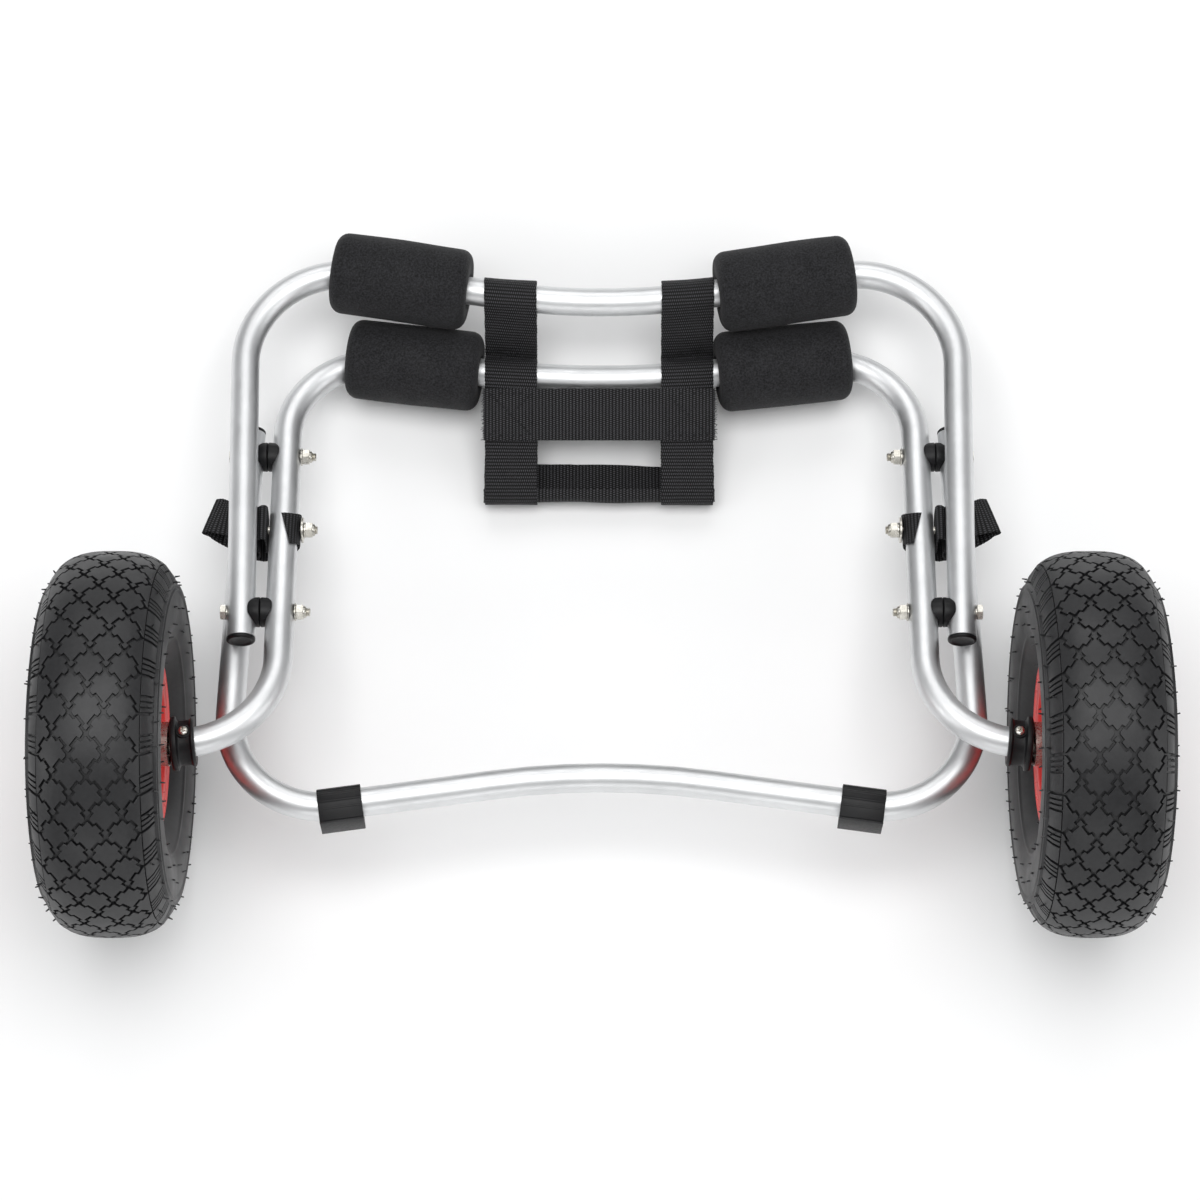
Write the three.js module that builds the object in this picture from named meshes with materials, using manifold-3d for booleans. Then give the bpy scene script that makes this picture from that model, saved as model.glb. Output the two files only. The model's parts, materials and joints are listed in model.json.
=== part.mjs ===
// Folding aluminium kayak cart, folded flat and lying on its two tyres and the two pads of its wheel frame.
// Millimetres. X runs across the cart, Y from the wheels to the pads, Z up from the floor.
// The wheel frame is the carrier. Inside its group, X runs across, Y up along its legs from the axle,
// and Z out of its front, which faces up. The cradle frame folds over its front, the stand frame behind it.

import * as THREE from "three";
import { mergeVertices } from "three/addons/utils/BufferGeometryUtils.js";
import Module from "manifold-3d";

const kernel = await Module();
kernel.setup();

// Tube stock and the air left between neighbours
const tubeDiameter = 20;
const tubeWall = 1.5;
const seatGap = 0.3;
const boltHoleGap = 0.3;
const cutOverrun = 2;
const weldDistance = 0.0005;

// Wheel frame, an inverted U whose legs flare out to the axles
const wheelBarReach = 305.5;
const wheelBarSlopeAngle = 7.5;
const wheelBarBend = 575;
const wheelCornerBend = 65;
const wheelKneeSpread = 220.5;
const wheelLegLean = 0.8;
const wheelStubBend = 66;
const wheelStubSlopeAngle = 6;
const wheelStubRun = 64;

// Bolt heights: the lower pivot above the axle, the upper one below the middle of the wheel frame's bar,
// and the check strap's bolt at a share of the way between them
const lowerPivotReach = 105.6;
const upperPivotDrop = 68.8;
const strapBoltShare = 0.522;

// Cradle frame, the larger inverted U in front
const cradleBarSlopeAngle = 9;
const cradleBarBend = 450;
const cradleCornerBend = 70;
const cradleLegGap = 6.7;
const cradleLegLean = 1.4;
const cradleLegTail = 19;

// Stand frame, an upright U behind. Folded, its foot bar lies this far below the axle's height.
const standBarDrop = 0.75;
const standBarSlopeAngle = 8;
const standBarBend = 540;
const standCornerBend = 65;
const standLegGap = 6.2;
const standLegLean = 1.7;
const standLegTail = 18;

// Air between the cradle's legs and the stand's when folded, which sets the fold's angle
const foldedLegGap = 3.9;

// Bolts, nuts and washers
const boltDiameter = 6;
const hexWidth = 10;
const hexHeadHeight = 4;
const nutHeight = 6.5;
const nutCollarHeight = 1.6;
const nutCollarDiameter = 8.4;
const boltProtrusion = 3;
const flangeDiameter = 12.5;
const flangeThickness = 1.2;
const fenderDiameter = 18;
const fenderThickness = 1.5;
const trussHeadDiameter = 12;
const trussHeadHeight = 2.4;

// Saddle washers between the legs at each pivot, two back to back
const saddleDiameter = 21;
const saddleReach = 8.5;

// Plugs in the open tube ends
const plugRim = 2.6;
const plugStem = 12;

// Foam pads
const padDiameter = 58.5;
const wheelPadLength = 96;
const cradlePadLength = 98;
const padEdge = 9;
const padBoreGap = 0.4;
const wheelPadInsetLeft = 85.5;
const wheelPadInsetRight = 89.5;
const cradlePadInsetLeft = 76.8;
const cradlePadInsetRight = 88.9;

// The folded cradle's bar lies nearer to the wheel frame's, in the middle, than a pad is thick by this
const padNesting = 1.77;

// Foot clips on the stand's bar
const footInset = 72;
const footWidth = 30;
const footWall = 2.2;
const footLipDrop = 3.2;
const footLipDepth = 11;

// Collars that join the stub ends to the axles
const collarGrip = 11;
const collarLength = 15.4;
const collarDiameter = 31;
const collarRingDiameter = 33;
const collarRingLength = 2.2;
const collarFlangeDiameter = 37;
const collarFlangeLength = 4;
const collarTrimReach = 1;
const collarSpigotInset = 3;
const collarSpigotGap = 0.5;
const collarScrewDiameter = 3.5;
const collarScrewHead = 6.6;
const collarScrewHeadHeight = 1.8;
const collarScrewLength = 7.5;
const collarScrewOffset = 6.8;

// Wheels
const tyreRadius = 130;
const tyreHalfWidth = 42.5;
const tyreWall = 7;
const beadRadius = 51.3;
const beadHalfWidth = 26.5;
const beadClearance = 0.6;
const rimLipRadius = 60;
const rimLipHalfWidth = 30;
const rimSheet = 2;
const rimWellRadius = 41;
const hubDiameter = 30;
const hubHalfLength = 37.7;
const hubEndGap = 0.4;
const axleDiameter = 10;
const axleHeadWidth = 17;
const axleHeadHeight = 6.5;
const axleGap = 0.3;
const axleInset = 2;
const innerTubeWall = 1.8;
const innerTubeGap = 0.4;
const valveDiameter = 7;
const valveBore = 2.6;
const valveOffset = 15;
const valveTipRadius = 30;

// Webbing
const webThickness = 1.5;
const slingWidth = 37.4;
const slingPadGap = 0.8;
const slingOffset = -1.7;
const slingBandOverhang = 1;
const cradleLoopTail = 27;
const slingFoldDrop = 71.6;
const slingFoldDepth = -45.6;
const slingFoldRadius = 8;
const slingSagDrop = 30;
const slingSagDepth = -8.4;
const slingSagRadius = 30;
const slingTuck = 30;
const rearBandLip = 3;
const frontBandDrop = 9.5;
const rearBandRun = 23;
const checkWidth = 25;
const checkSlack = 11;
const checkLift = 6;
const checkFold = 1.4;
const checkEndBend = 2.2;
const checkEndRise = 8;

// Facet counts
const tubeSides = 12;
const boreSides = 8;
const boltSides = 12;
const bendStep = 18;
const leastBendSteps = 3;
const padEdgeSteps = 2;
const roundSides = 16;
const padSides = 24;
const wheelSides = 24;

// A place along a path that falls short of a station by less than this is taken as that station
const stationTolerance = 1e-9;

const half = (length) => length / 2;
const radians = THREE.MathUtils.degToRad;
const legSpreadAt = (spread, lean, rise) => spread + rise * Math.tan(radians(lean));

// Heights of the other bolts, and the angle by which the cradle and the stand stand off the wheel frame
const upperPivotReach = wheelBarReach - upperPivotDrop;
const pivotPitch = upperPivotReach - lowerPivotReach;
const strapBoltReach = lowerPivotReach + strapBoltShare * pivotPitch;
const foldAngle = Math.asin((tubeDiameter + foldedLegGap) / pivotPitch);

// How far beyond the wheel frame's bar the cradle's lies, and its reach from the pivot. The two bars are
// a distance apart that the pads set, and the lead solves the right triangle that the fold leaves for it.
const barDistance = padDiameter - padNesting;
const barRise = Math.tan(foldAngle);
const barRun = wheelBarReach - lowerPivotReach;
const leadSlope = barRun * barRise ** 2;
const leadScale = 1 + barRise ** 2;
const leadShort = barDistance ** 2 - (barRun * barRise) ** 2;
const cradleBarLead = (Math.sqrt(leadSlope ** 2 + leadScale * leadShort) - leadSlope) / leadScale;
const cradleBarReach = (barRun + cradleBarLead) / Math.cos(foldAngle);
const standBarReach = (upperPivotReach + standBarDrop) / Math.cos(foldAngle);

// Places along X: the legs at their pivots, what sits on the bars, and the chain out to the wheels
const wheelLegAt = (reach) => legSpreadAt(wheelKneeSpread, wheelLegLean, reach);
const cradleLegSpread = wheelLegAt(lowerPivotReach) + tubeDiameter + cradleLegGap;
const standLegSpread = wheelLegAt(upperPivotReach) + tubeDiameter + standLegGap;
const wheelPadLeft = wheelKneeSpread - wheelPadInsetLeft;
const wheelPadRight = wheelKneeSpread - wheelPadInsetRight;
const cradlePadLeft = wheelKneeSpread - cradlePadInsetLeft;
const cradlePadRight = wheelKneeSpread - cradlePadInsetRight;
const slingSpread = wheelPadRight - half(wheelPadLength) - half(slingWidth) - slingPadGap;
const footSpread = standLegSpread - footInset;
const wheelStubEnd = wheelKneeSpread + wheelStubRun;
const collarMouth = wheelStubEnd - collarGrip;
const collarEnd = collarMouth + collarLength + collarTrimReach;
const wheelSpread = collarEnd + hubEndGap + hubHalfLength;
const tubeRadius = half(tubeDiameter);
const boreRadius = tubeRadius - tubeWall;
const boltRadius = half(boltDiameter);
const boltHoleRadius = boltRadius + boltHoleGap;

// Finishes
function finish(color, roughness, metalness) {
  return new THREE.MeshStandardMaterial({ color, roughness, metalness });
}
const anodisedAluminium = finish(0xc9cbcd, 0.36, 0.9);
const zincSteel = finish(0xb9b7ae, 0.32, 0.95);
const blackPlastic = finish(0x1b1b1c, 0.5, 0);
const blackFoam = finish(0x202022, 0.85, 0);
const blackWebbing = finish(0x17171a, 0.8, 0);
const tyreRubber = finish(0x2b2b2c, 0.72, 0);
const redPaint = finish(0xd8322c, 0.4, 0.1);
const tubeRubber = finish(0x141414, 0.7, 0);

// A path of straights and round bends, given by its corners: each corner is a point and a bend radius.
// Its stations lie only at the ends of the straights and along the bends, so a straight is one span.
class BentPath extends THREE.Curve {
  constructor(corners) {
    super();
    this.corners = corners;
    this.points = [corners[0].at];
    this.tangents = [corners[1].at.clone().sub(corners[0].at).normalize()];
    for (let i = 1; i < corners.length - 1; i++) {
      const into = corners[i].at.clone().sub(corners[i - 1].at).normalize();
      const out = corners[i + 1].at.clone().sub(corners[i].at).normalize();
      this.addBend(corners[i], into, out);
    }
    this.points.push(corners.at(-1).at);
    this.tangents.push(this.tangents.at(-1).clone());
  }

  addBend(corner, into, out) {
    const turn = into.angleTo(out);
    const inward = out.clone().addScaledVector(into, -into.dot(out)).normalize();
    const start = corner.at.clone().addScaledVector(into, -corner.radius * Math.tan(turn / 2));
    const steps = Math.max(leastBendSteps, Math.ceil(turn / radians(bendStep)));
    for (let k = 0; k <= steps; k++) {
      const angle = (turn * k) / steps;
      const along = corner.radius * Math.sin(angle);
      const across = corner.radius * (1 - Math.cos(angle));
      const tangent = into.clone().multiplyScalar(Math.cos(angle));
      this.points.push(start.clone().addScaledVector(into, along).addScaledVector(inward, across));
      this.tangents.push(tangent.addScaledVector(inward, Math.sin(angle)));
    }
  }

  get spans() {
    return this.points.length - 1;
  }

  // The same path with both ends moved outward
  extended(length) {
    const longer = new BentPath(this.corners);
    longer.points[0] = this.points[0].clone().addScaledVector(this.tangents[0], -length);
    longer.points[this.spans] = this.points.at(-1).clone().addScaledVector(this.tangents.at(-1), length);
    return longer;
  }

  pick(list, share) {
    const place = share * this.spans;
    const low = Math.min(Math.floor(place + stationTolerance), this.spans - 1);
    return list[low].clone().lerp(list[low + 1], THREE.MathUtils.clamp(place - low, 0, 1));
  }

  getPoint(share) {
    return this.pick(this.points, share);
  }

  getPointAt(share) {
    return this.pick(this.points, share);
  }

  getTangentAt(share) {
    return this.pick(this.tangents, share).normalize();
  }
}

// A belt in a plane that runs tangent to a list of rounds. Each round has a centre, a radius and a turn:
// 1 where the belt goes round it counterclockwise, -1 clockwise. A round of no radius is an end point.
function beltStations(rounds) {
  const lines = [];
  for (let i = 0; i < rounds.length - 1; i++) {
    const from = rounds[i];
    const to = rounds[i + 1];
    const span = to.centre.clone().sub(from.centre);
    const tilt = Math.asin((to.turn * to.radius - from.turn * from.radius) / span.length());
    const angle = Math.atan2(span.y, span.x) - tilt;
    const left = new THREE.Vector2(-Math.sin(angle), Math.cos(angle));
    const leave = from.centre.clone().addScaledVector(left, -from.turn * from.radius);
    const meet = to.centre.clone().addScaledVector(left, -to.turn * to.radius);
    lines.push({ angle, leave, meet });
  }
  const stations = [{ at: lines[0].leave, angle: lines[0].angle }];
  for (let i = 1; i < rounds.length - 1; i++) {
    const round = rounds[i];
    const start = lines[i - 1].angle;
    const full = 2 * Math.PI;
    const sweep = ((round.turn * (lines[i].angle - start)) % full + full) % full;
    const steps = Math.max(1, Math.ceil(sweep / radians(2 * bendStep)));
    for (let k = 0; k <= steps; k++) {
      const angle = start + (round.turn * sweep * k) / steps;
      const left = new THREE.Vector2(-Math.sin(angle), Math.cos(angle));
      stations.push({ at: round.centre.clone().addScaledVector(left, -round.turn * round.radius), angle });
    }
  }
  stations.push({ at: lines.at(-1).meet, angle: lines.at(-1).angle });
  return { stations, lines };
}

const round = (across, along, radius, turn) => ({ centre: new THREE.Vector2(across, along), radius, turn });
const endPoint = (across, along) => round(across, along, 0, 1);

// Closed solids for joining and cutting
function solidOf(geometry) {
  const bare = new THREE.BufferGeometry();
  bare.setAttribute("position", geometry.getAttribute("position"));
  bare.setIndex(geometry.getIndex());
  const merged = mergeVertices(bare, weldDistance);
  const triangles = [];
  const index = merged.index.array;
  for (let i = 0; i < index.length; i += 3) {
    const [a, b, c] = [index[i], index[i + 1], index[i + 2]];
    if (a !== b && b !== c && c !== a) triangles.push(a, b, c);
  }
  const vertProperties = merged.attributes.position.array;
  const build = (corners) => {
    const triVerts = Uint32Array.from(corners);
    return new kernel.Manifold(new kernel.Mesh({ numProp: 3, vertProperties, triVerts }));
  };
  const made = build(triangles);
  return made.volume() > 0 ? made : build(triangles.reverse());
}

function geometryOf(solid) {
  const mesh = solid.getMesh();
  const positions = new Float32Array(mesh.numVert * 3);
  for (let i = 0; i < mesh.numVert; i++) {
    positions.set(mesh.vertProperties.subarray(i * mesh.numProp, i * mesh.numProp + 3), i * 3);
  }
  const geometry = new THREE.BufferGeometry();
  geometry.setAttribute("position", new THREE.BufferAttribute(positions, 3));
  geometry.setIndex(new THREE.BufferAttribute(Uint32Array.from(mesh.triVerts), 1));
  geometry.computeVertexNormals();
  return geometry;
}

const cut = (body, ...tools) => tools.reduce((left, tool) => left.subtract(solidOf(tool)), solidOf(body));
const cutGeometry = (body, ...tools) => geometryOf(cut(body, ...tools));

// A round bar along X
function barAcross(radius, from, to, sides = roundSides) {
  const bar = new THREE.CylinderGeometry(radius, radius, Math.abs(to - from), sides);
  return bar.rotateZ(-Math.PI / 2).translate((from + to) / 2, 0, 0);
}

// A body turned about X: its profile is a closed list of [place along X, radius]
function turnedAcross(profile, sides) {
  const points = profile.map(([along, radius]) => new THREE.Vector2(radius, along));
  if (profile.at(-1)[1] > 0 || profile[0][1] > 0) points.push(points[0].clone());
  return new THREE.LatheGeometry(points, sides).rotateZ(-Math.PI / 2);
}

// A six-sided bar along X, by its width across flats
function hexAcross(width, from, to) {
  return barAcross(half(width) / Math.cos(Math.PI / 6), from, to, 6);
}

// A round bar along a path, and a tube as such a bar with a bore that runs out past both ends
function barAlong(path, radius, sectionSides = tubeSides) {
  return new THREE.ExtrudeGeometry(new THREE.Shape().absarc(0, 0, radius, 0, 2 * Math.PI), {
    steps: path.spans,
    curveSegments: half(sectionSides),
    extrudePath: path,
    bevelEnabled: false,
  });
}

function tubeAlong(path) {
  const bore = barAlong(path.extended(cutOverrun), boreRadius, boreSides);
  return cutGeometry(barAlong(path, tubeRadius), bore);
}

// Flat webbing that follows the stations of a belt in the YZ plane, its width along X
function ribbonAcross(stations, thickness, width) {
  const beside = (offset) => ({ at, angle }) => {
    return new THREE.Vector2(at.x - Math.sin(angle) * offset, at.y + Math.cos(angle) * offset);
  };
  const side = (offset) => stations.map(beside(offset));
  const outline = new THREE.Shape([...side(half(thickness)), ...side(-half(thickness)).reverse()]);
  const ribbon = new THREE.ExtrudeGeometry(outline, { depth: width, bevelEnabled: false });
  const across = new THREE.Vector3(0, 1, 0);
  const up = new THREE.Vector3(0, 0, 1);
  const out = new THREE.Vector3(1, 0, 0);
  const turn = new THREE.Matrix4().makeBasis(across, up, out);
  return ribbon.translate(0, 0, -half(width)).applyMatrix4(turn);
}

// The same in the XZ plane, its width along Y
function ribbonAlong(stations, thickness, width) {
  return ribbonAcross(stations, thickness, width).rotateZ(-Math.PI / 2);
}

const point = (x, y) => new THREE.Vector3(x, y, 0);
const corner = (x, y, radius) => ({ at: point(x, y), radius });

// Where a U frame's bar crosses X = 0 if its two slopes ran straight, below the rounded middle
const apexReach = (barReach, slope, bend) => barReach - bend * (1 / Math.cos(radians(slope)) - 1);

// Height of a U frame's bar at a place across, inside the rounded middle or on the slope
function barReachAt(x, barReach, slope, bend) {
  const place = Math.abs(x);
  const roundedHalf = bend * Math.sin(radians(slope));
  if (place < roundedHalf) return barReach + bend - Math.sqrt(bend ** 2 - place ** 2);
  return apexReach(barReach, slope, bend) + place * Math.tan(radians(slope));
}

// Corner of a U frame: where the slope of its bar meets the line of its leg
function frameCorner(spread, lean, pivotReach, apex, slope) {
  const leanRun = Math.tan(radians(lean));
  const rise = Math.tan(radians(slope));
  const x = (spread + leanRun * (apex - pivotReach)) / (1 - leanRun * rise);
  return { x, y: apex + x * rise };
}

// Half of a frame's corners, from the middle of the bar out, mirrored into the whole path
function mirroredPath(outward) {
  const middle = outward[0];
  const rest = outward.slice(1);
  const left = rest.map(({ at, radius }) => corner(-at.x, at.y, radius)).reverse();
  return new BentPath([...left, middle, ...rest]);
}

function wheelFramePath(stubEnd = wheelStubEnd) {
  const apex = apexReach(wheelBarReach, wheelBarSlopeAngle, wheelBarBend);
  const top = frameCorner(wheelKneeSpread, wheelLegLean, 0, apex, wheelBarSlopeAngle);
  const stubSlope = Math.tan(radians(wheelStubSlopeAngle));
  const stubRise = (collarMouth + collarLength - wheelKneeSpread) * stubSlope;
  return mirroredPath([
    corner(0, apex, wheelBarBend),
    corner(top.x, top.y, wheelCornerBend),
    corner(wheelKneeSpread, stubRise, wheelStubBend),
    corner(stubEnd, (collarMouth + collarLength - stubEnd) * stubSlope, 0),
  ]);
}

// The cradle's path, with its pivot at the origin
function cradleFramePath() {
  const apex = apexReach(cradleBarReach, cradleBarSlopeAngle, cradleBarBend);
  const top = frameCorner(cradleLegSpread, cradleLegLean, 0, apex, cradleBarSlopeAngle);
  return mirroredPath([
    corner(0, apex, cradleBarBend),
    corner(top.x, top.y, cradleCornerBend),
    corner(legSpreadAt(cradleLegSpread, cradleLegLean, -cradleLegTail), -cradleLegTail, 0),
  ]);
}

// The stand's path, with its pivot at the origin and its foot bar below
function standFramePath() {
  const apex = apexReach(standBarReach, standBarSlopeAngle, standBarBend);
  const foot = frameCorner(standLegSpread, standLegLean, 0, apex, standBarSlopeAngle);
  return mirroredPath([
    corner(0, -apex, standBarBend),
    corner(foot.x, -foot.y, standCornerBend),
    corner(legSpreadAt(standLegSpread, standLegLean, -standLegTail), standLegTail, 0),
  ]);
}

// Height of the wheel frame's pads at the place where they touch the floor, their outer ends
function wheelPadRestReach() {
  const place = half(wheelPadLeft + wheelPadRight) + half(wheelPadLength) - padEdge;
  return barReachAt(place, wheelBarReach, wheelBarSlopeAngle, wheelBarBend);
}

const wheelPath = wheelFramePath();
const cradlePath = cradleFramePath();
const standPath = standFramePath();

// Groups: the cart lies at the angle where its tyres and the wheel frame's pads touch the floor
const padRestReach = wheelPadRestReach();
const lieAngle = Math.asin((tyreRadius - half(padDiameter)) / padRestReach);

const cart = new THREE.Group();
const wheelFrame = new THREE.Group();
const cradleFrame = new THREE.Group();
const standFrame = new THREE.Group();
wheelFrame.rotation.x = -lieAngle;
cradleFrame.position.y = lowerPivotReach;
cradleFrame.rotation.x = foldAngle;
standFrame.position.y = upperPivotReach;
standFrame.rotation.x = foldAngle;
cart.add(wheelFrame);
wheelFrame.add(cradleFrame, standFrame);

const sides = [
  { name: "left", sign: -1 },
  { name: "right", sign: 1 },
];

function addMesh(group, name, geometry, material, x = 0, y = 0, z = 0) {
  const mesh = new THREE.Mesh(geometry, material);
  mesh.name = name;
  mesh.position.set(x, y, z);
  group.add(mesh);
  return mesh;
}

// A bolt hole across both legs of a frame at a height
const crossHole = (reach) => {
  const width = wheelSpread;
  return barAcross(boltHoleRadius, -width, width, boreSides).translate(0, reach, 0);
};

// Frames
function addFrames() {
  const wheelTube = tubeAlong(wheelPath);
  const wheelHoles = [lowerPivotReach, strapBoltReach, upperPivotReach].map(crossHole);
  const screwX = collarMouth + collarScrewOffset;
  const screwY = Math.tan(radians(wheelStubSlopeAngle)) * (collarLength - collarScrewOffset);
  wheelHoles.push(screwBar(screwX, screwY, seatGap, tubeDiameter));
  wheelHoles.push(screwBar(-screwX, screwY, seatGap, tubeDiameter));
  addMesh(wheelFrame, "wheel_frame_tube", cutGeometry(wheelTube, ...wheelHoles), anodisedAluminium);
  const cradleTube = tubeAlong(cradlePath);
  addMesh(cradleFrame, "cradle_frame_tube", cutGeometry(cradleTube, crossHole(0)), anodisedAluminium);
  const standTube = tubeAlong(standPath);
  addMesh(standFrame, "stand_frame_tube", cutGeometry(standTube, crossHole(0)), anodisedAluminium);
}

// A plug in an open tube end, its rim at the origin and its stem along +Y
function plugGeometry() {
  const stemRadius = boreRadius * Math.cos(Math.PI / boreSides) - seatGap;
  const profile = [
    [0, 0],
    [0, tubeRadius],
    [plugRim, tubeRadius],
    [plugRim, stemRadius],
    [plugRim + plugStem, stemRadius],
    [plugRim + plugStem, 0],
  ];
  return turnedAcross(profile, roundSides).rotateZ(Math.PI / 2);
}

function addPlugs() {
  for (const { name, sign } of sides) {
    const cradleTail = legSpreadAt(cradleLegSpread, cradleLegLean, -cradleLegTail);
    const low = addMesh(cradleFrame, `cradle_tube_plug_${name}`, plugGeometry(), blackPlastic);
    low.position.set(sign * cradleTail, -cradleLegTail - plugRim - seatGap, 0);
    low.rotation.z = -sign * radians(cradleLegLean);
    const standTail = legSpreadAt(standLegSpread, standLegLean, -standLegTail);
    const high = addMesh(standFrame, `stand_tube_plug_${name}`, plugGeometry(), blackPlastic);
    high.position.set(sign * standTail, standLegTail + plugRim + seatGap, 0);
    high.rotation.z = Math.PI + sign * radians(standLegLean);
  }
}

// One saddle washer: a disc round the bolt whose one face is hollowed to sit on a tube.
// It lies between its flat face at the parting and the tube's axis on the far side, as seen along X.
function saddleGeometry(sign, parting, legSpread, legLean) {
  const outward = Math.sign(legSpread - parting);
  const flat = parting + (outward * seatGap) / 2;
  const disc = barAcross(half(saddleDiameter), sign * flat, sign * (parting + outward * saddleReach));
  const legRadius = tubeRadius + seatGap;
  const leg = new THREE.CylinderGeometry(legRadius, legRadius, 2 * saddleDiameter, roundSides);
  leg.rotateZ(-sign * radians(legLean)).translate(sign * legSpread, 0, 0);
  const hole = barAcross(boltHoleRadius, 0, sign * wheelSpread, boreSides);
  return cutGeometry(disc, leg, hole);
}

const pivots = [
  {
    name: "lower_pivot",
    group: cradleFrame,
    reach: lowerPivotReach,
    spread: cradleLegSpread,
    lean: cradleLegLean,
  },
  {
    name: "upper_pivot",
    group: standFrame,
    reach: upperPivotReach,
    spread: standLegSpread,
    lean: -standLegLean,
  },
];

function addPivot(pivot, side) {
  const { sign } = side;
  const innerLeg = wheelLegAt(pivot.reach);
  const parting = half(innerLeg + pivot.spread);
  const inner = saddleGeometry(sign, parting, innerLeg, wheelLegLean);
  addMesh(wheelFrame, `${pivot.name}_saddle_inner_${side.name}`, inner, blackPlastic, 0, pivot.reach, 0);
  const outer = saddleGeometry(sign, parting, pivot.spread, pivot.lean);
  addMesh(pivot.group, `${pivot.name}_saddle_outer_${side.name}`, outer, blackPlastic);
  const headFace = pivot.spread + tubeRadius + seatGap;
  const nutFace = innerLeg - tubeRadius - seatGap;
  const head = hexAcross(hexWidth, headFace, headFace + hexHeadHeight);
  const tip = nutFace - flangeThickness - nutHeight - boltProtrusion;
  addCrossPart(`${pivot.name}_bolt`, side, pivot.reach, boltSolid(head, headFace, tip));
  addCrossPart(`${pivot.name}_nut`, side, pivot.reach, nutSolid(nutFace, flangeDiameter, flangeThickness));
}

// Bolts, washers and nuts across a leg are drawn on the right, where every place along X is a distance from
// the middle of the cart, and turned half round for the left.
function addCrossPart(name, side, reach, solid) {
  const mesh = addMesh(wheelFrame, `${name}_${side.name}`, geometryOf(solid), zincSteel, 0, reach, 0);
  mesh.rotation.y = side.sign < 0 ? Math.PI : 0;
}

function boltSolid(head, headFace, tip) {
  const shank = barAcross(boltRadius, tip, headFace + half(trussHeadHeight), boltSides);
  return solidOf(head).add(solidOf(shank));
}

// A locknut whose flange lies against the leg and whose round collar holds the thread's end
function nutSolid(face, flangeSize, flangeHeight) {
  const flange = solidOf(barAcross(half(flangeSize), face - flangeHeight, face));
  const seat = face - half(flangeHeight);
  const end = face - flangeHeight - nutHeight;
  const hex = solidOf(hexAcross(hexWidth, seat, end + nutCollarHeight));
  const collar = solidOf(barAcross(half(nutCollarDiameter), seat, end, 2 * boreSides));
  const thread = solidOf(barAcross(boltHoleRadius, face - wheelSpread, face + wheelSpread, boltSides));
  return flange.add(hex).add(collar).subtract(thread);
}

function trussHead(face) {
  const profile = [
    [face, 0],
    [face, half(trussHeadDiameter)],
    [face + trussHeadHeight / 3, half(trussHeadDiameter)],
    [face + trussHeadHeight, half(trussHeadDiameter) / 2],
    [face + trussHeadHeight, 0],
  ];
  return turnedAcross(profile, roundSides);
}

// The bolt that holds both ends of a check strap on the wheel frame's leg
function addStrapBolt(side) {
  const leg = wheelLegAt(strapBoltReach);
  const strapFace = wrapRadius(seatGap) + half(webThickness) + seatGap;
  const headFace = leg + strapFace;
  const washerFace = leg - strapFace;
  const nutFace = washerFace - fenderThickness - seatGap;
  const tip = nutFace - nutHeight - boltProtrusion;
  addCrossPart("check_strap_bolt", side, strapBoltReach, boltSolid(trussHead(headFace), headFace, tip));
  const washer = solidOf(barAcross(half(fenderDiameter), washerFace - fenderThickness, washerFace));
  const hole = solidOf(barAcross(boltHoleRadius, 0, headFace, boltSides));
  addCrossPart("check_strap_washer", side, strapBoltReach, washer.subtract(hole));
  addCrossPart("check_strap_nut", side, strapBoltReach, nutSolid(nutFace, hexWidth, flangeThickness));
}

function addPivots() {
  for (const side of sides) {
    for (const pivot of pivots) addPivot(pivot, side);
    addStrapBolt(side);
  }
}

// A foam pad, a round roll with soft edges on a stretch of a frame's bar, bored to follow the tube
function padGeometry(path, length, place, reach, slope) {
  const [end, radius] = [half(length), half(padDiameter)];
  const edge = [];
  for (let k = 0; k <= padEdgeSteps; k++) {
    const angle = (half(Math.PI) * k) / padEdgeSteps;
    edge.push([end - padEdge * (1 - Math.cos(angle)), radius - padEdge * (1 - Math.sin(angle))]);
  }
  const leftEdge = edge.map(([along, across]) => [-along, across]);
  const roll = turnedAcross([[-end, 0], ...leftEdge, ...edge.reverse(), [end, 0]], padSides);
  roll.rotateZ(radians(Math.sign(place) * slope)).translate(place, reach, 0);
  return cutGeometry(roll, barAlong(path, tubeRadius + padBoreGap));
}

function addPads() {
  const wheelPads = { left: -wheelPadLeft, right: wheelPadRight };
  const cradlePads = { left: -cradlePadLeft, right: cradlePadRight };
  for (const { name } of sides) {
    const low = barReachAt(wheelPads[name], wheelBarReach, wheelBarSlopeAngle, wheelBarBend);
    const lowPad = padGeometry(wheelPath, wheelPadLength, wheelPads[name], low, wheelBarSlopeAngle);
    addMesh(wheelFrame, `wheel_frame_pad_${name}`, lowPad, blackFoam);
    const high = barReachAt(cradlePads[name], cradleBarReach, cradleBarSlopeAngle, cradleBarBend);
    const highPad = padGeometry(cradlePath, cradlePadLength, cradlePads[name], high, cradleBarSlopeAngle);
    addMesh(cradleFrame, `cradle_pad_${name}`, highPad, blackFoam);
  }
}

// A clip round the foot bar with a flat lip under it
function footGeometry(sign) {
  const reach = -barReachAt(footSpread, standBarReach, standBarSlopeAngle, standBarBend);
  const sleeve = solidOf(barAlong(standPath, tubeRadius + seatGap + footWall));
  const lip = new THREE.BoxGeometry(footWidth, tubeRadius + footWall + footLipDrop, 2 * footLipDepth);
  lip.translate(sign * footSpread, reach - half(tubeRadius + footWall + footLipDrop), 0);
  const span = new THREE.BoxGeometry(footWidth, 4 * tubeDiameter, 2 * tubeDiameter);
  span.translate(sign * footSpread, reach, 0);
  const bore = solidOf(barAlong(standPath, tubeRadius + seatGap));
  return geometryOf(sleeve.intersect(solidOf(span)).add(solidOf(lip)).subtract(bore));
}

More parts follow.
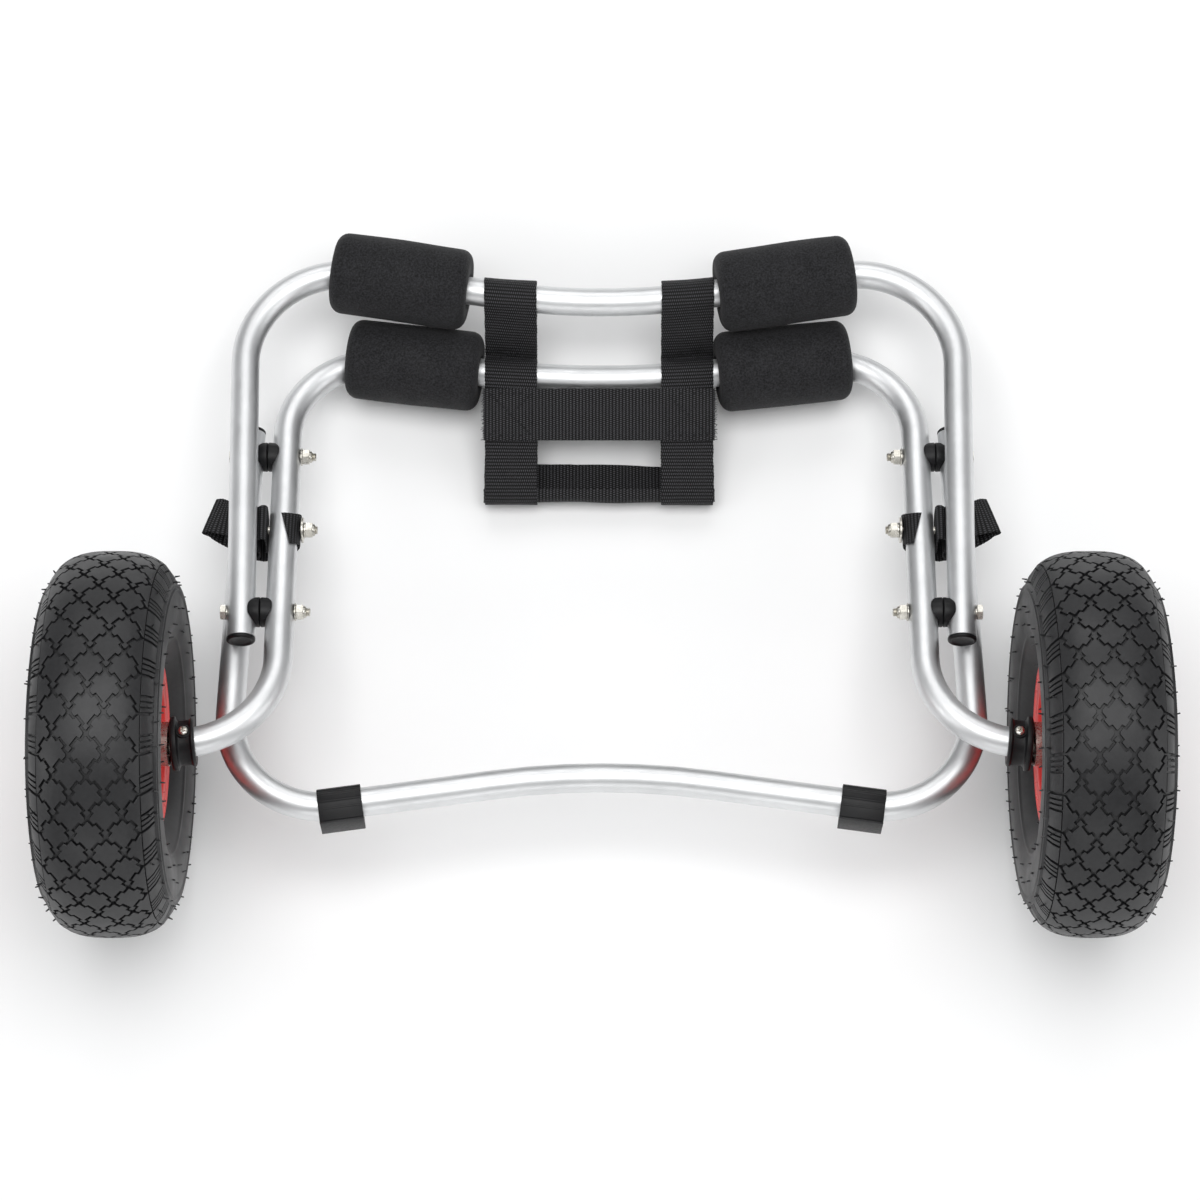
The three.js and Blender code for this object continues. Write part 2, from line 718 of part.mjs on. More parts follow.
function addFeet() {
  for (const { name, sign } of sides) {
    addMesh(standFrame, `foot_clip_${name}`, footGeometry(sign), blackPlastic);
  }
}

// The plastic collar on a stub end, along X from its mouth at the origin, with the axle's seat in its floor
function collarGeometry() {
  const [body, ring, flange] = [collarDiameter, collarRingDiameter, collarFlangeDiameter].map(half);
  const profile = [
    [0, 0],
    [0, ring],
    [collarRingLength, ring],
    [collarRingLength, body],
    [collarLength - collarFlangeLength, body],
    [collarLength - collarFlangeLength, flange],
    [collarLength, flange],
    [collarLength, 0],
  ];
  return turnedAcross(profile, roundSides);
}

function addCollars() {
  const slope = Math.tan(radians(wheelStubSlopeAngle));
  const screwX = collarMouth + collarScrewOffset;
  const screwY = slope * (collarLength - collarScrewOffset);
  const shape = collarGeometry().rotateZ(-radians(wheelStubSlopeAngle));
  shape.translate(collarMouth, slope * collarLength, 0);
  const socketFloor = wheelStubEnd + tubeRadius * slope + seatGap;
  const socketPath = wheelFramePath(collarMouth + collarLength);
  const socket = keepBetween(barAlong(socketPath, tubeRadius + seatGap), 0, socketFloor);
  const spigotRadius = boreRadius * Math.cos(Math.PI / boreSides) - collarSpigotGap;
  const spigotStart = collarMouth + collarSpigotInset;
  const spigot = keepBetween(barAlong(socketPath, spigotRadius), spigotStart, socketFloor + tubeWall);
  const bore = solidOf(barAcross(half(axleDiameter) + axleGap, collarMouth, wheelSpread, 2 * boreSides));
  const screwHole = solidOf(screwBar(screwX, screwY, seatGap, collarDiameter));
  const cup = keepBetween(shape, collarMouth - collarLength, collarEnd).subtract(socket);
  const collar = cup.add(spigot).subtract(bore).subtract(screwHole);
  for (const { name, sign } of sides) {
    const turned = sign < 0 ? collar.mirror([1, 0, 0]) : collar;
    addMesh(wheelFrame, `axle_collar_${name}`, geometryOf(turned), blackPlastic);
    const screw = solidOf(collarScrewGeometry(screwX, screwY));
    const turnedScrew = sign < 0 ? screw.mirror([1, 0, 0]) : screw;
    addMesh(wheelFrame, `collar_screw_${name}`, geometryOf(turnedScrew), zincSteel);
  }
}

// What lies between two places along X
function keepBetween(geometry, from, to) {
  const size = wheelSpread;
  const box = new THREE.BoxGeometry(to - from, size, size).translate(half(from + to), 0, 0);
  return solidOf(geometry).intersect(solidOf(box));
}

// A bar along the collar's screw, which points at the stub from the front
function screwBar(x, y, gap, length) {
  const radius = half(collarScrewDiameter) + gap;
  const bar = new THREE.CylinderGeometry(radius, radius, length, boltSides);
  return bar.rotateX(Math.PI / 2).translate(x, y, half(length));
}

// The screw through the collar's front, which also enters the tube
function collarScrewGeometry(x, y) {
  const seat = half(collarDiameter) + seatGap;
  const headRadius = half(collarScrewHead);
  const profile = [
    [seat - collarScrewLength, 0],
    [seat - collarScrewLength, half(collarScrewDiameter)],
    [seat, half(collarScrewDiameter)],
    [seat, headRadius],
    [seat + half(collarScrewHeadHeight), headRadius],
    [seat + collarScrewHeadHeight, half(headRadius)],
    [seat + collarScrewHeadHeight, 0],
  ];
  return turnedAcross(profile, boltSides).rotateY(-Math.PI / 2).translate(x, y, 0);
}

// Half outlines from the bead to the crown, as shares of the half width and the height above the rim's lip
const casingShares = [
  [0.74, 0.053],
  [0.9, 0.195],
  [0.995, 0.433],
  [0.97, 0.683],
  [0.84, 0.853],
  [0.52, 0.96],
  [0, 1],
];
const cavityShares = [
  [0.9, 0.19],
  [0.995, 0.43],
  [0.84, 0.85],
  [0, 1],
];
const casingBase = rimLipRadius + beadClearance;
const cavityNeck = beadHalfWidth - tyreWall - seatGap;

// The points of an outline, moved inward by an inset
function outlinePoints(shares, inset) {
  const width = tyreHalfWidth - inset;
  const height = tyreRadius - inset - casingBase;
  return shares.map(([across, up]) => [width * across, casingBase + height * up]);
}

// A ring section mirrored about the wheel's middle, from one bead over the crown to the other
function mirroredSection(rightHalf) {
  const leftHalf = rightHalf.slice(0, -1).map(([across, radius]) => [-across, radius]);
  return [...leftHalf, ...rightHalf.reverse()];
}

function casingSection() {
  const bead = [beadRadius, casingBase].map((radius) => [beadHalfWidth, radius]);
  return mirroredSection([...bead, ...outlinePoints(casingShares, 0)]);
}

function cavitySection(inset, floorRadius) {
  const neck = [floorRadius, casingBase].map((radius) => [cavityNeck - inset, radius]);
  return mirroredSection([...neck, ...outlinePoints(cavityShares, tyreWall + inset)]);
}

function tyreGeometry() {
  const casing = turnedAcross(casingSection(), wheelSides);
  return cutGeometry(casing, turnedAcross(cavitySection(0, beadRadius - cutOverrun), wheelSides));
}

// The inner tube nearly fills the tyre, down to the rim, with its valve stem pointing at the hub
function innerTubeGeometry() {
  const floor = beadRadius + innerTubeGap;
  const skin = solidOf(turnedAcross(cavitySection(innerTubeGap, floor), wheelSides));
  const airSection = cavitySection(innerTubeGap + innerTubeWall, floor + innerTubeWall);
  const air = solidOf(turnedAcross(airSection, wheelSides));
  const stemTop = floor + half(innerTubeWall);
  const stem = valveBar(half(valveDiameter), valveTipRadius, stemTop, boltSides);
  const bore = valveBar(half(valveBore), valveTipRadius - cutOverrun, stemTop + tyreWall, boreSides);
  return geometryOf(skin.subtract(air).add(stem).subtract(bore));
}

// A round bar along a radius of the wheel, where the valve is
function valveBar(radius, from, to, barSides) {
  const bar = new THREE.CylinderGeometry(radius, radius, to - from, barSides);
  return solidOf(bar.translate(valveOffset, half(from + to), 0));
}

// A rim half of pressed sheet: a lip, the bead's seat, the well wall and the web at the middle
function rimHalfGeometry(valveHole) {
  const parting = half(seatGap);
  const hubFit = half(hubDiameter) + seatGap;
  const seat = beadRadius - seatGap;
  const lipFace = beadHalfWidth + seatGap;
  const profile = [
    [parting, hubFit],
    [parting, rimWellRadius],
    [parting + rimSheet, seat],
    [lipFace, seat],
    [lipFace, rimLipRadius],
    [rimLipHalfWidth, rimLipRadius],
    [rimLipHalfWidth, seat - rimSheet],
    [parting + 3 * rimSheet, seat - rimSheet],
    [parting + 2 * rimSheet, rimWellRadius],
    [parting + rimSheet, rimWellRadius - rimSheet],
    [parting + rimSheet, hubFit],
  ];
  const sheet = solidOf(turnedAcross(profile.reverse(), wheelSides));
  if (!valveHole) return geometryOf(sheet);
  const hole = valveBar(half(valveDiameter) + seatGap, valveTipRadius, rimLipRadius, boltSides);
  return geometryOf(sheet.subtract(hole));
}

function addWheels() {
  for (const { name, sign } of sides) {
    const wheel = new THREE.Group();
    wheel.position.set(sign * wheelSpread, 0, 0);
    wheel.rotation.set(lieAngle, sign < 0 ? Math.PI : 0, 0, "XYZ");
    wheelFrame.add(wheel);
    addMesh(wheel, `tyre_${name}`, tyreGeometry(), tyreRubber);
    addMesh(wheel, `inner_tube_${name}`, innerTubeGeometry(), tubeRubber);
    addMesh(wheel, `rim_outer_half_${name}`, rimHalfGeometry(true), redPaint);
    addMesh(wheel, `rim_inner_half_${name}`, rimHalfGeometry(false).rotateY(Math.PI), redPaint);
    const sleeve = barAcross(half(hubDiameter), -hubHalfLength, hubHalfLength);
    const bore = barAcross(half(axleDiameter) + axleGap, -wheelSpread, wheelSpread, 2 * boreSides);
    addMesh(wheel, `hub_sleeve_${name}`, cutGeometry(sleeve, bore), zincSteel);
    addAxle(name, sign);
  }
}

// The axle bolt: its head outside the wheel, its shank through the hub and into the collar
function addAxle(name, sign) {
  const headFace = wheelSpread + hubHalfLength + seatGap;
  const head = hexAcross(axleHeadWidth, headFace, headFace + axleHeadHeight);
  const shankEnd = headFace + half(axleHeadHeight);
  const shank = barAcross(half(axleDiameter), collarMouth + axleInset, shankEnd, 2 * boreSides);
  const solid = solidOf(head).add(solidOf(shank));
  const bolt = addMesh(wheelFrame, `axle_bolt_${name}`, geometryOf(solid), zincSteel);
  bolt.rotation.y = sign < 0 ? Math.PI : 0;
}

// Webbing sling: each strap is sewn in a loop on the cradle's bar, runs down behind the wheel frame's bar,
// folds by the floor, comes up in front and is sewn in a loop on that bar. Two bands cross the straps.
const cradleBarAtSling = barReachAt(slingSpread, cradleBarReach, cradleBarSlopeAngle, cradleBarBend);
const wheelBarAtSling = barReachAt(slingSpread, wheelBarReach, wheelBarSlopeAngle, wheelBarBend);
const barTurnAtSling = (bend) => half(slingWidth) * ((slingSpread + half(slingWidth)) / bend);
const loopRadius = (bend) => tubeRadius + barTurnAtSling(bend) + half(webThickness) + 2 * seatGap;
const slingFoldReach = wheelBarAtSling - slingFoldDrop;
const slingSagReach = wheelBarAtSling - slingSagDrop;
const wheelLoopRadius = loopRadius(wheelBarBend);
const cradleLoopRadius = loopRadius(cradleBarBend);
const layerPitch = webThickness + seatGap;

function tailDirection() {
  const bar = new THREE.Vector2(
    lowerPivotReach + cradleBarAtSling * Math.cos(foldAngle),
    cradleBarAtSling * Math.sin(foldAngle),
  );
  const target = new THREE.Vector2(wheelBarAtSling, -wheelLoopRadius - layerPitch);
  const direction = target.sub(bar).normalize();
  return { bar, direction };
}

// The rounds that the long strap runs over, in the wheel frame's YZ plane
function slingRounds() {
  const { bar, direction } = tailDirection();
  const start = bar.clone().addScaledVector(direction, cradleLoopTail + webThickness);
  const wheelBar = [wheelBarAtSling, 0];
  return [
    endPoint(start.x, start.y),
    round(...wheelBar, wheelLoopRadius + layerPitch, -1),
    round(slingSagReach, slingSagDepth, slingSagRadius, -1),
    round(slingFoldReach, slingFoldDepth, slingFoldRadius, -1),
    round(...wheelBar, wheelLoopRadius, -1),
    endPoint(wheelBarAtSling - slingTuck, -slingTuckDepth()),
  ];
}

// How far behind the bar's axis the tucked end lies, just under the strap's front run
function slingTuckDepth() {
  const { lines } = beltStations([
    round(slingFoldReach, slingFoldDepth, slingFoldRadius, -1),
    round(wheelBarAtSling, 0, wheelLoopRadius, -1),
    endPoint(wheelBarAtSling, -wheelLoopRadius),
  ]);
  const { angle, meet } = lines[0];
  const run = wheelBarAtSling - slingTuck - meet.x;
  const front = meet.y + run * Math.tan(angle);
  return -(front - (layerPitch + seatGap) / Math.cos(angle));
}

function addSling() {
  const belt = beltStations(slingRounds());
  const front = belt.lines[3];
  const { bar, direction } = tailDirection();
  const local = direction.clone().rotateAround(new THREE.Vector2(), -foldAngle);
  const side = new THREE.Vector2(-local.y, local.x);
  const loopBar = new THREE.Vector2(cradleBarAtSling, 0);
  const end = loopBar.clone().addScaledVector(local, cradleLoopTail);
  const rear = end.clone().addScaledVector(side, half(layerPitch));
  const fore = end.clone().addScaledVector(side, -half(layerPitch));
  const loop = beltStations([
    endPoint(rear.x, rear.y),
    round(loopBar.x, loopBar.y, cradleLoopRadius, -1),
    endPoint(fore.x, fore.y),
  ]);
  for (const { name, sign } of sides) {
    const x = sign * slingSpread + slingOffset;
    const shortLoop = ribbonAcross(loop.stations, webThickness, slingWidth);
    const longStrap = ribbonAcross(belt.stations, webThickness, slingWidth);
    addMesh(cradleFrame, `sling_cradle_loop_${name}`, shortLoop, blackWebbing, x);
    addMesh(wheelFrame, `sling_strap_${name}`, longStrap, blackWebbing, x);
  }
  addFrontBand(front);
  addRearBand();
}

const bandLength = 2 * (slingSpread + slingBandOverhang) + slingWidth;

function addFrontBand(front) {
  const along = new THREE.Vector2(Math.cos(front.angle), Math.sin(front.angle));
  const out = new THREE.Vector2(-along.y, along.x);
  const top = front.meet.clone().addScaledVector(along, -frontBandDrop).addScaledVector(out, layerPitch);
  const low = top.clone().addScaledVector(along, -slingWidth);
  const stations = [
    { at: low, angle: front.angle },
    { at: top, angle: front.angle },
  ];
  const band = ribbonAcross(stations, webThickness, bandLength);
  addMesh(wheelFrame, "sling_front_band", band, blackWebbing, slingOffset);
}

// The rear band lies inside the fold: on the lower run, round the turn and just up the front run
function addRearBand() {
  const { lines } = beltStations(slingRounds());
  const inward = ({ angle }, point, along) =>
    point.clone().add(new THREE.Vector2(along, -layerPitch).rotateAround(new THREE.Vector2(), angle));
  const start = inward(lines[2], lines[2].meet, -rearBandRun);
  const lip = inward(lines[3], lines[3].leave, rearBandLip);
  const belt = beltStations([
    endPoint(start.x, start.y),
    round(slingFoldReach, slingFoldDepth, slingFoldRadius - layerPitch, -1),
    endPoint(lip.x, lip.y),
  ]);
  const band = ribbonAcross(belt.stations, webThickness, bandLength);
  addMesh(wheelFrame, "sling_rear_band", band, blackWebbing, slingOffset);
}

// Middle of a webbing layer round a tube, so that the flats of its bend clear the tube by a gap
const wrapRadius = (gap) => (tubeRadius + gap) / Math.cos(radians(bendStep)) + half(webThickness);

// Leans what lies beyond a place along X so that it runs parallel to the folded frames' legs
function leanBeyond(geometry, place, lean) {
  const position = geometry.getAttribute("position");
  for (let i = 0; i < position.count; i++) {
    if (position.getX(i) > place) position.setZ(i, position.getZ(i) + position.getY(i) * lean);
  }
  return geometry;
}

// Check straps: each starts on the front of the wheel frame's leg, passes under the wide washer on its
// inner side, goes behind the leg and loosely round the stand's leg, with a slack fold outside. It comes
// back between the stand's leg and the cradle's, and its end is held under the head outside the leg.
function addCheckStraps() {
  const turn = Math.tan(foldAngle);
  const standX = legSpreadAt(standLegSpread, standLegLean, upperPivotReach - strapBoltReach);
  const standZ = -(upperPivotReach - strapBoltReach) * turn;
  const cradleX = legSpreadAt(cradleLegSpread, cradleLegLean, strapBoltReach - lowerPivotReach);
  const cradleZ = (strapBoltReach - lowerPivotReach) * turn;
  const legX = wheelLegAt(strapBoltReach);
  const snug = wrapRadius(seatGap);
  const loose = snug + seatGap;
  const endX = legX + snug;
  const rounds = [
    endPoint(legX + half(tubeRadius), snug + seatGap),
    round(legX, 0, snug, 1),
    round(standX, standZ, loose, 1),
    round(standX + loose + checkSlack, standZ + checkLift, checkFold, 1),
    round(standX, standZ, loose, 1),
    round(cradleX, cradleZ, snug, -1),
    round(endX + checkEndBend, checkEndRise, checkEndBend, 1),
    endPoint(endX, -checkEndRise),
  ];
  const { stations } = beltStations(rounds);
  const webHole = barAcross(boltHoleRadius, 0, endX + checkEndBend, boreSides);
  const ribbon = leanBeyond(ribbonAlong(stations, webThickness, checkWidth), legX + half(tubeRadius), turn);
  for (const { name, sign } of sides) {
    const strap = solidOf(ribbon).subtract(solidOf(webHole));
    const shape = geometryOf(sign < 0 ? strap.mirror([1, 0, 0]) : strap);
    addMesh(wheelFrame, `check_strap_${name}`, shape, blackWebbing, 0, strapBoltReach, 0);
  }
}

addFrames();
addPlugs();
addPivots();
addPads();
addFeet();
addCollars();
addWheels();
addSling();
addCheckStraps();

// The origin is under the middle of the whole cart, on the floor
cart.updateMatrixWorld(true);
const bounds = new THREE.Box3().setFromObject(cart, true);
cart.position.set(-half(bounds.min.x + bounds.max.x), -half(bounds.min.y + bounds.max.y), -bounds.min.z);

export default cart;
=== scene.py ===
# %% [markdown]
# The scene dresses a folding kayak cart that lies folded flat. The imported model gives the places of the
# joints, and every other place follows from the three folded frames, each a plane with its own axes.

import json
import math

import bmesh
import bpy
import numpy as np
from mathutils import Matrix, Vector


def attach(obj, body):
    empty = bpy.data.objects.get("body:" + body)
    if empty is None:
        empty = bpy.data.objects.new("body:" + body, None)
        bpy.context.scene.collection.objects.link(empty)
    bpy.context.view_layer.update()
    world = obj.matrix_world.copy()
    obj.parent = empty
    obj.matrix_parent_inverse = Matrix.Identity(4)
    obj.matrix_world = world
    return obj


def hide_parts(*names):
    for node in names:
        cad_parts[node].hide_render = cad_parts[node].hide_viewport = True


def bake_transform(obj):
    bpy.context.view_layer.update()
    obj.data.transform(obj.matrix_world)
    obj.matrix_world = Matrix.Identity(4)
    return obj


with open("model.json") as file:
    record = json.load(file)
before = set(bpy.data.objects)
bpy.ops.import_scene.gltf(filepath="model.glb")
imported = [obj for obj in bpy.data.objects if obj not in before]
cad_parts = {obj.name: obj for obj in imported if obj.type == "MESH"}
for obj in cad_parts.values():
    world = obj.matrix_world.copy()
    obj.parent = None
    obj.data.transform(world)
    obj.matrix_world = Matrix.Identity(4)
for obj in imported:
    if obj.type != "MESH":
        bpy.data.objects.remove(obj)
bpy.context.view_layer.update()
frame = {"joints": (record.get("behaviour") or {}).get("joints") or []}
bpy.ops.object.select_all(action="DESELECT")

MM = 0.001
joint_place = {joint["name"]: Vector(joint["pos_m"]) for joint in frame["joints"]}
lower_pivot = joint_place["cradle_fold"]
upper_pivot = joint_place["stand_fold"]
wheel_spread = joint_place["right_wheel_spin"].x
axle = Vector((0, joint_place["right_wheel_spin"].y, joint_place["right_wheel_spin"].z))
sides = {"left": -1, "right": 1}


def plane_at(origin, up):
    """A frame's plane: X across the cart, Y up along its legs and Z out of its front."""
    across = Vector((1, 0, 0))
    turn = Matrix((across, up, across.cross(up))).transposed().to_4x4()
    return Matrix.Translation(origin) @ turn


up_leg = (lower_pivot - axle).normalized()
pivot_pitch = (upper_pivot - lower_pivot).length
tube_diameter = 20 * MM
folded_leg_gap = 3.9 * MM
fold_angle = math.asin((tube_diameter + folded_leg_gap) / pivot_pitch)
folded_up = Matrix.Rotation(fold_angle, 3, "X") @ up_leg
wheel_plane = plane_at(axle, up_leg)
cradle_plane = plane_at(lower_pivot, folded_up)
stand_plane = plane_at(upper_pivot, folded_up)
lower_reach = (lower_pivot - axle).length
upper_reach = (upper_pivot - axle).length
print("fold angle", round(math.degrees(fold_angle), 3), "spread", wheel_spread)

# %% [markdown]
# Every piece is made the same way: a primitive or a curve, shaped, then its modifiers applied. These
# helpers hold the steps that return, so that each piece's own cell shows only its shape.

# %% Helpers for pieces


def select_only(piece):
    bpy.ops.object.select_all(action="DESELECT")
    piece.select_set(True)
    bpy.context.view_layer.objects.active = piece


def apply_all(piece):
    select_only(piece)
    for modifier in list(piece.modifiers):
        bpy.ops.object.modifier_apply(modifier=modifier.name)
    return piece


def in_edit_mode(piece, action):
    select_only(piece)
    bpy.ops.object.mode_set(mode="EDIT")
    bpy.ops.mesh.select_all(action="SELECT")
    action()
    bpy.ops.object.mode_set(mode="OBJECT")
    return piece


def smooth(piece, angle=35):
    select_only(piece)
    bpy.ops.object.shade_smooth_by_angle(angle=math.radians(angle))
    return piece


def clean(piece):
    """Merges what coincides, drops loose edges and turns every face outward."""

    def tidy():
        bpy.ops.mesh.remove_doubles(threshold=0.01 * MM)
        bpy.ops.mesh.delete_loose(use_verts=True, use_edges=True, use_faces=False)
        bpy.ops.mesh.select_all(action="SELECT")
        bpy.ops.mesh.normals_make_consistent(inside=False)

    return in_edit_mode(piece, tidy)


def soften(piece, width, segments=2, angle=35):
    """Rounds every edge that is sharper than the angle."""
    bevel = piece.modifiers.new("Soft edges", "BEVEL")
    bevel.width = width
    bevel.segments = segments
    bevel.limit_method = "ANGLE"
    bevel.angle_limit = math.radians(angle)
    bevel.use_clamp_overlap = True
    return apply_all(piece)


def turned(degrees, axis):
    return Matrix.Rotation(math.radians(degrees), 4, axis)


def shifted(x, y=0, z=0):
    return Matrix.Translation((x, y, z))


def in_mm(*pairs):
    """Pairs of millimetres as places in metres."""
    return [(first * MM, second * MM) for first, second in pairs]


def mirrored_outline(half):
    """The same points on the other side of the middle, in reverse order."""
    return [(-along, radius) for along, radius in reversed(half)]


def moved(piece, matrix):
    """Moves the mesh itself, so that the object stays at the origin, unturned and unscaled."""
    piece.data.transform(matrix)
    if matrix.determinant() < 0:
        piece.data.flip_normals()
    return piece


def copied(piece, name, matrix):
    twin = piece.copy()
    twin.data = piece.data.copy()
    twin.name = name
    bpy.context.collection.objects.link(twin)
    return moved(twin, matrix)


def joined(name, pieces):
    select_only(pieces[0])
    for piece in pieces:
        piece.select_set(True)
    bpy.ops.object.join()
    pieces[0].name = name
    return pieces[0]


def removed(piece):
    bpy.data.objects.remove(piece, do_unlink=True)


def lathe(name, outline, steps=64):
    """Spins a closed outline of (place along X, radius) round the X axis."""
    bpy.ops.mesh.primitive_circle_add(vertices=len(outline), radius=1, fill_type="NOTHING")
    piece = bpy.context.object
    piece.name = name
    for vertex, (along, radius) in zip(piece.data.vertices, outline):
        vertex.co = (along, 0, radius)

    def spin():
        bpy.ops.mesh.spin(steps=steps, angle=math.tau, center=(0, 0, 0), axis=(1, 0, 0))

    in_edit_mode(piece, spin)
    return clean(piece)


def boolean(piece, tool, operation="DIFFERENCE"):
    cutter = piece.modifiers.new("Cut", "BOOLEAN")
    cutter.operation = operation
    cutter.object = tool
    cutter.solver = "EXACT"
    apply_all(piece)
    removed(tool)
    return piece


def rod(radius, start, end, vertices=32):
    """A plain round bar along X, used to cut or to be cut."""
    bpy.ops.mesh.primitive_cylinder_add(vertices=vertices, radius=radius, depth=end - start)
    piece = bpy.context.object
    bpy.ops.object.transform_apply(location=True, rotation=True)
    return moved(piece, shifted((start + end) / 2) @ turned(90, "Y"))


def block(low, high):
    bpy.ops.mesh.primitive_cube_add(size=1)
    piece = bpy.context.object
    low, high = Vector(low), Vector(high)
    return moved(piece, Matrix.Translation((low + high) / 2) @ Matrix.Diagonal((*(high - low), 1)))


def sweep(name, points, radius, wall=0, ring_steps=8):
    """A round bar or tube along a line of points."""
    curve = bpy.data.curves.new(name, "CURVE")
    curve.dimensions = "3D"
    curve.bevel_depth = radius
    curve.bevel_resolution = ring_steps
    curve.use_fill_caps = wall == 0
    spline = curve.splines.new("POLY")
    spline.points.add(len(points) - 1)
    for place, point in zip(spline.points, points):
        place.co = (*point, 1)
    piece = bpy.data.objects.new(name, curve)
    bpy.context.collection.objects.link(piece)
    select_only(piece)
    bpy.ops.object.convert(target="MESH")
    piece = bpy.context.object
    if wall:
        shell = piece.modifiers.new("Wall", "SOLIDIFY")
        shell.thickness = wall
        shell.offset = -1
        apply_all(piece)
    return smooth(clean(piece), 40)


# %% [markdown]
# A material is a small network of nodes that ends in a shader. Its patterns are sized in real millimetres on
# object coordinates, so that they stay on the piece, or on the webbing's own length and width. Colours were
# read in the photo as screen values, so one function turns them to linear light.

# %% Helpers for materials


def linear(colour):
    """Screen colour such as "#1b1b1d" as linear light."""
    channels = [int(colour[place : place + 2], 16) / 255 for place in (1, 3, 5)]
    light = [c / 12.92 if c <= 0.04045 else ((c + 0.055) / 1.055) ** 2.4 for c in channels]
    return (*light, 1)


def add_node(tree, kind, settings=None, values=None, links=None, stops=()):
    """Adds a node with its settings, input values, linked sockets and, on a colour ramp, its two stops."""
    node = tree.nodes.new(kind)
    for key, value in (settings or {}).items():
        setattr(node, key, value)
    for key, value in (values or {}).items():
        node.inputs[key].default_value = value
    for key, source in (links or {}).items():
        tree.links.new(source, node.inputs[key])
    for place, (position, colour) in enumerate(stops):
        node.color_ramp.elements[place].position = position
        node.color_ramp.elements[place].color = linear(colour)
    return node


def new_material(name):
    """An empty material, its node tree and the coordinates that patterns can be laid on."""
    material = bpy.data.materials.new(name)
    material.use_nodes = True
    tree = material.node_tree
    tree.nodes.clear()
    return material, tree, add_node(tree, "ShaderNodeTexCoord").outputs


def finish(tree, values=None, links=None):
    shader = add_node(tree, "ShaderNodeBsdfPrincipled", {}, values, links)
    add_node(tree, "ShaderNodeOutputMaterial", links={"Surface": shader.outputs["BSDF"]})


def surface(name, patterns, colour, rough=None, bumps=(), shader=None):
    """A material of clouds and cells in real size.

    Patterns are name: (size in mm, detail, roughness), and a size alone makes cells. Colour is (pattern,
    start, colour, end, colour) and rough is (pattern, lowest, highest). Each bump is (pattern, depth in mm,
    strength) and lies on the one before.
    """
    material, tree, coordinates = new_material(name)
    made = {}
    for pattern, (size, *cloud) in patterns.items():
        kind, output = ("ShaderNodeTexNoise", "Fac") if cloud else ("ShaderNodeTexVoronoi", "Distance")
        values = {"Scale": 1 / (size * MM), **dict(zip(("Detail", "Roughness"), cloud))}
        made[pattern] = add_node(tree, kind, {}, values, {"Vector": coordinates["Object"]}).outputs[output]
    pattern, start, low, end, high = colour
    stops = ((start, low), (end, high))
    ramp = add_node(tree, "ShaderNodeValToRGB", links={"Fac": made[pattern]}, stops=stops)
    links = {"Base Color": ramp.outputs["Color"]}
    if rough:
        pattern, low, high = rough
        values = {"From Min": 0.3, "From Max": 0.7, "To Min": low, "To Max": high}
        spread = add_node(tree, "ShaderNodeMapRange", {}, values, {"Value": made[pattern]})
        links["Roughness"] = spread.outputs["Result"]
    for pattern, depth, strength in bumps:
        under = {"Height": made[pattern]}
        if "Normal" in links:
            under["Normal"] = links["Normal"]
        bump = add_node(tree, "ShaderNodeBump", {}, {"Strength": strength, "Distance": depth * MM}, under)
        links["Normal"] = bump.outputs["Normal"]
    finish(tree, shader, links)
    return material


# %% [markdown]
# Each material starts from what the real one is and how its surface was made. Metal or not, its gloss starts
# from the usual values and is then matched to the object. A pattern that is too fine to show in the render
# is drawn as coarse as it needs to show, and its comment says so.

# %% Webbing material
plain, even, dusty, gritty = (3, 0.55), (1, 0.55), (5, 0.65), (4, 0.7)


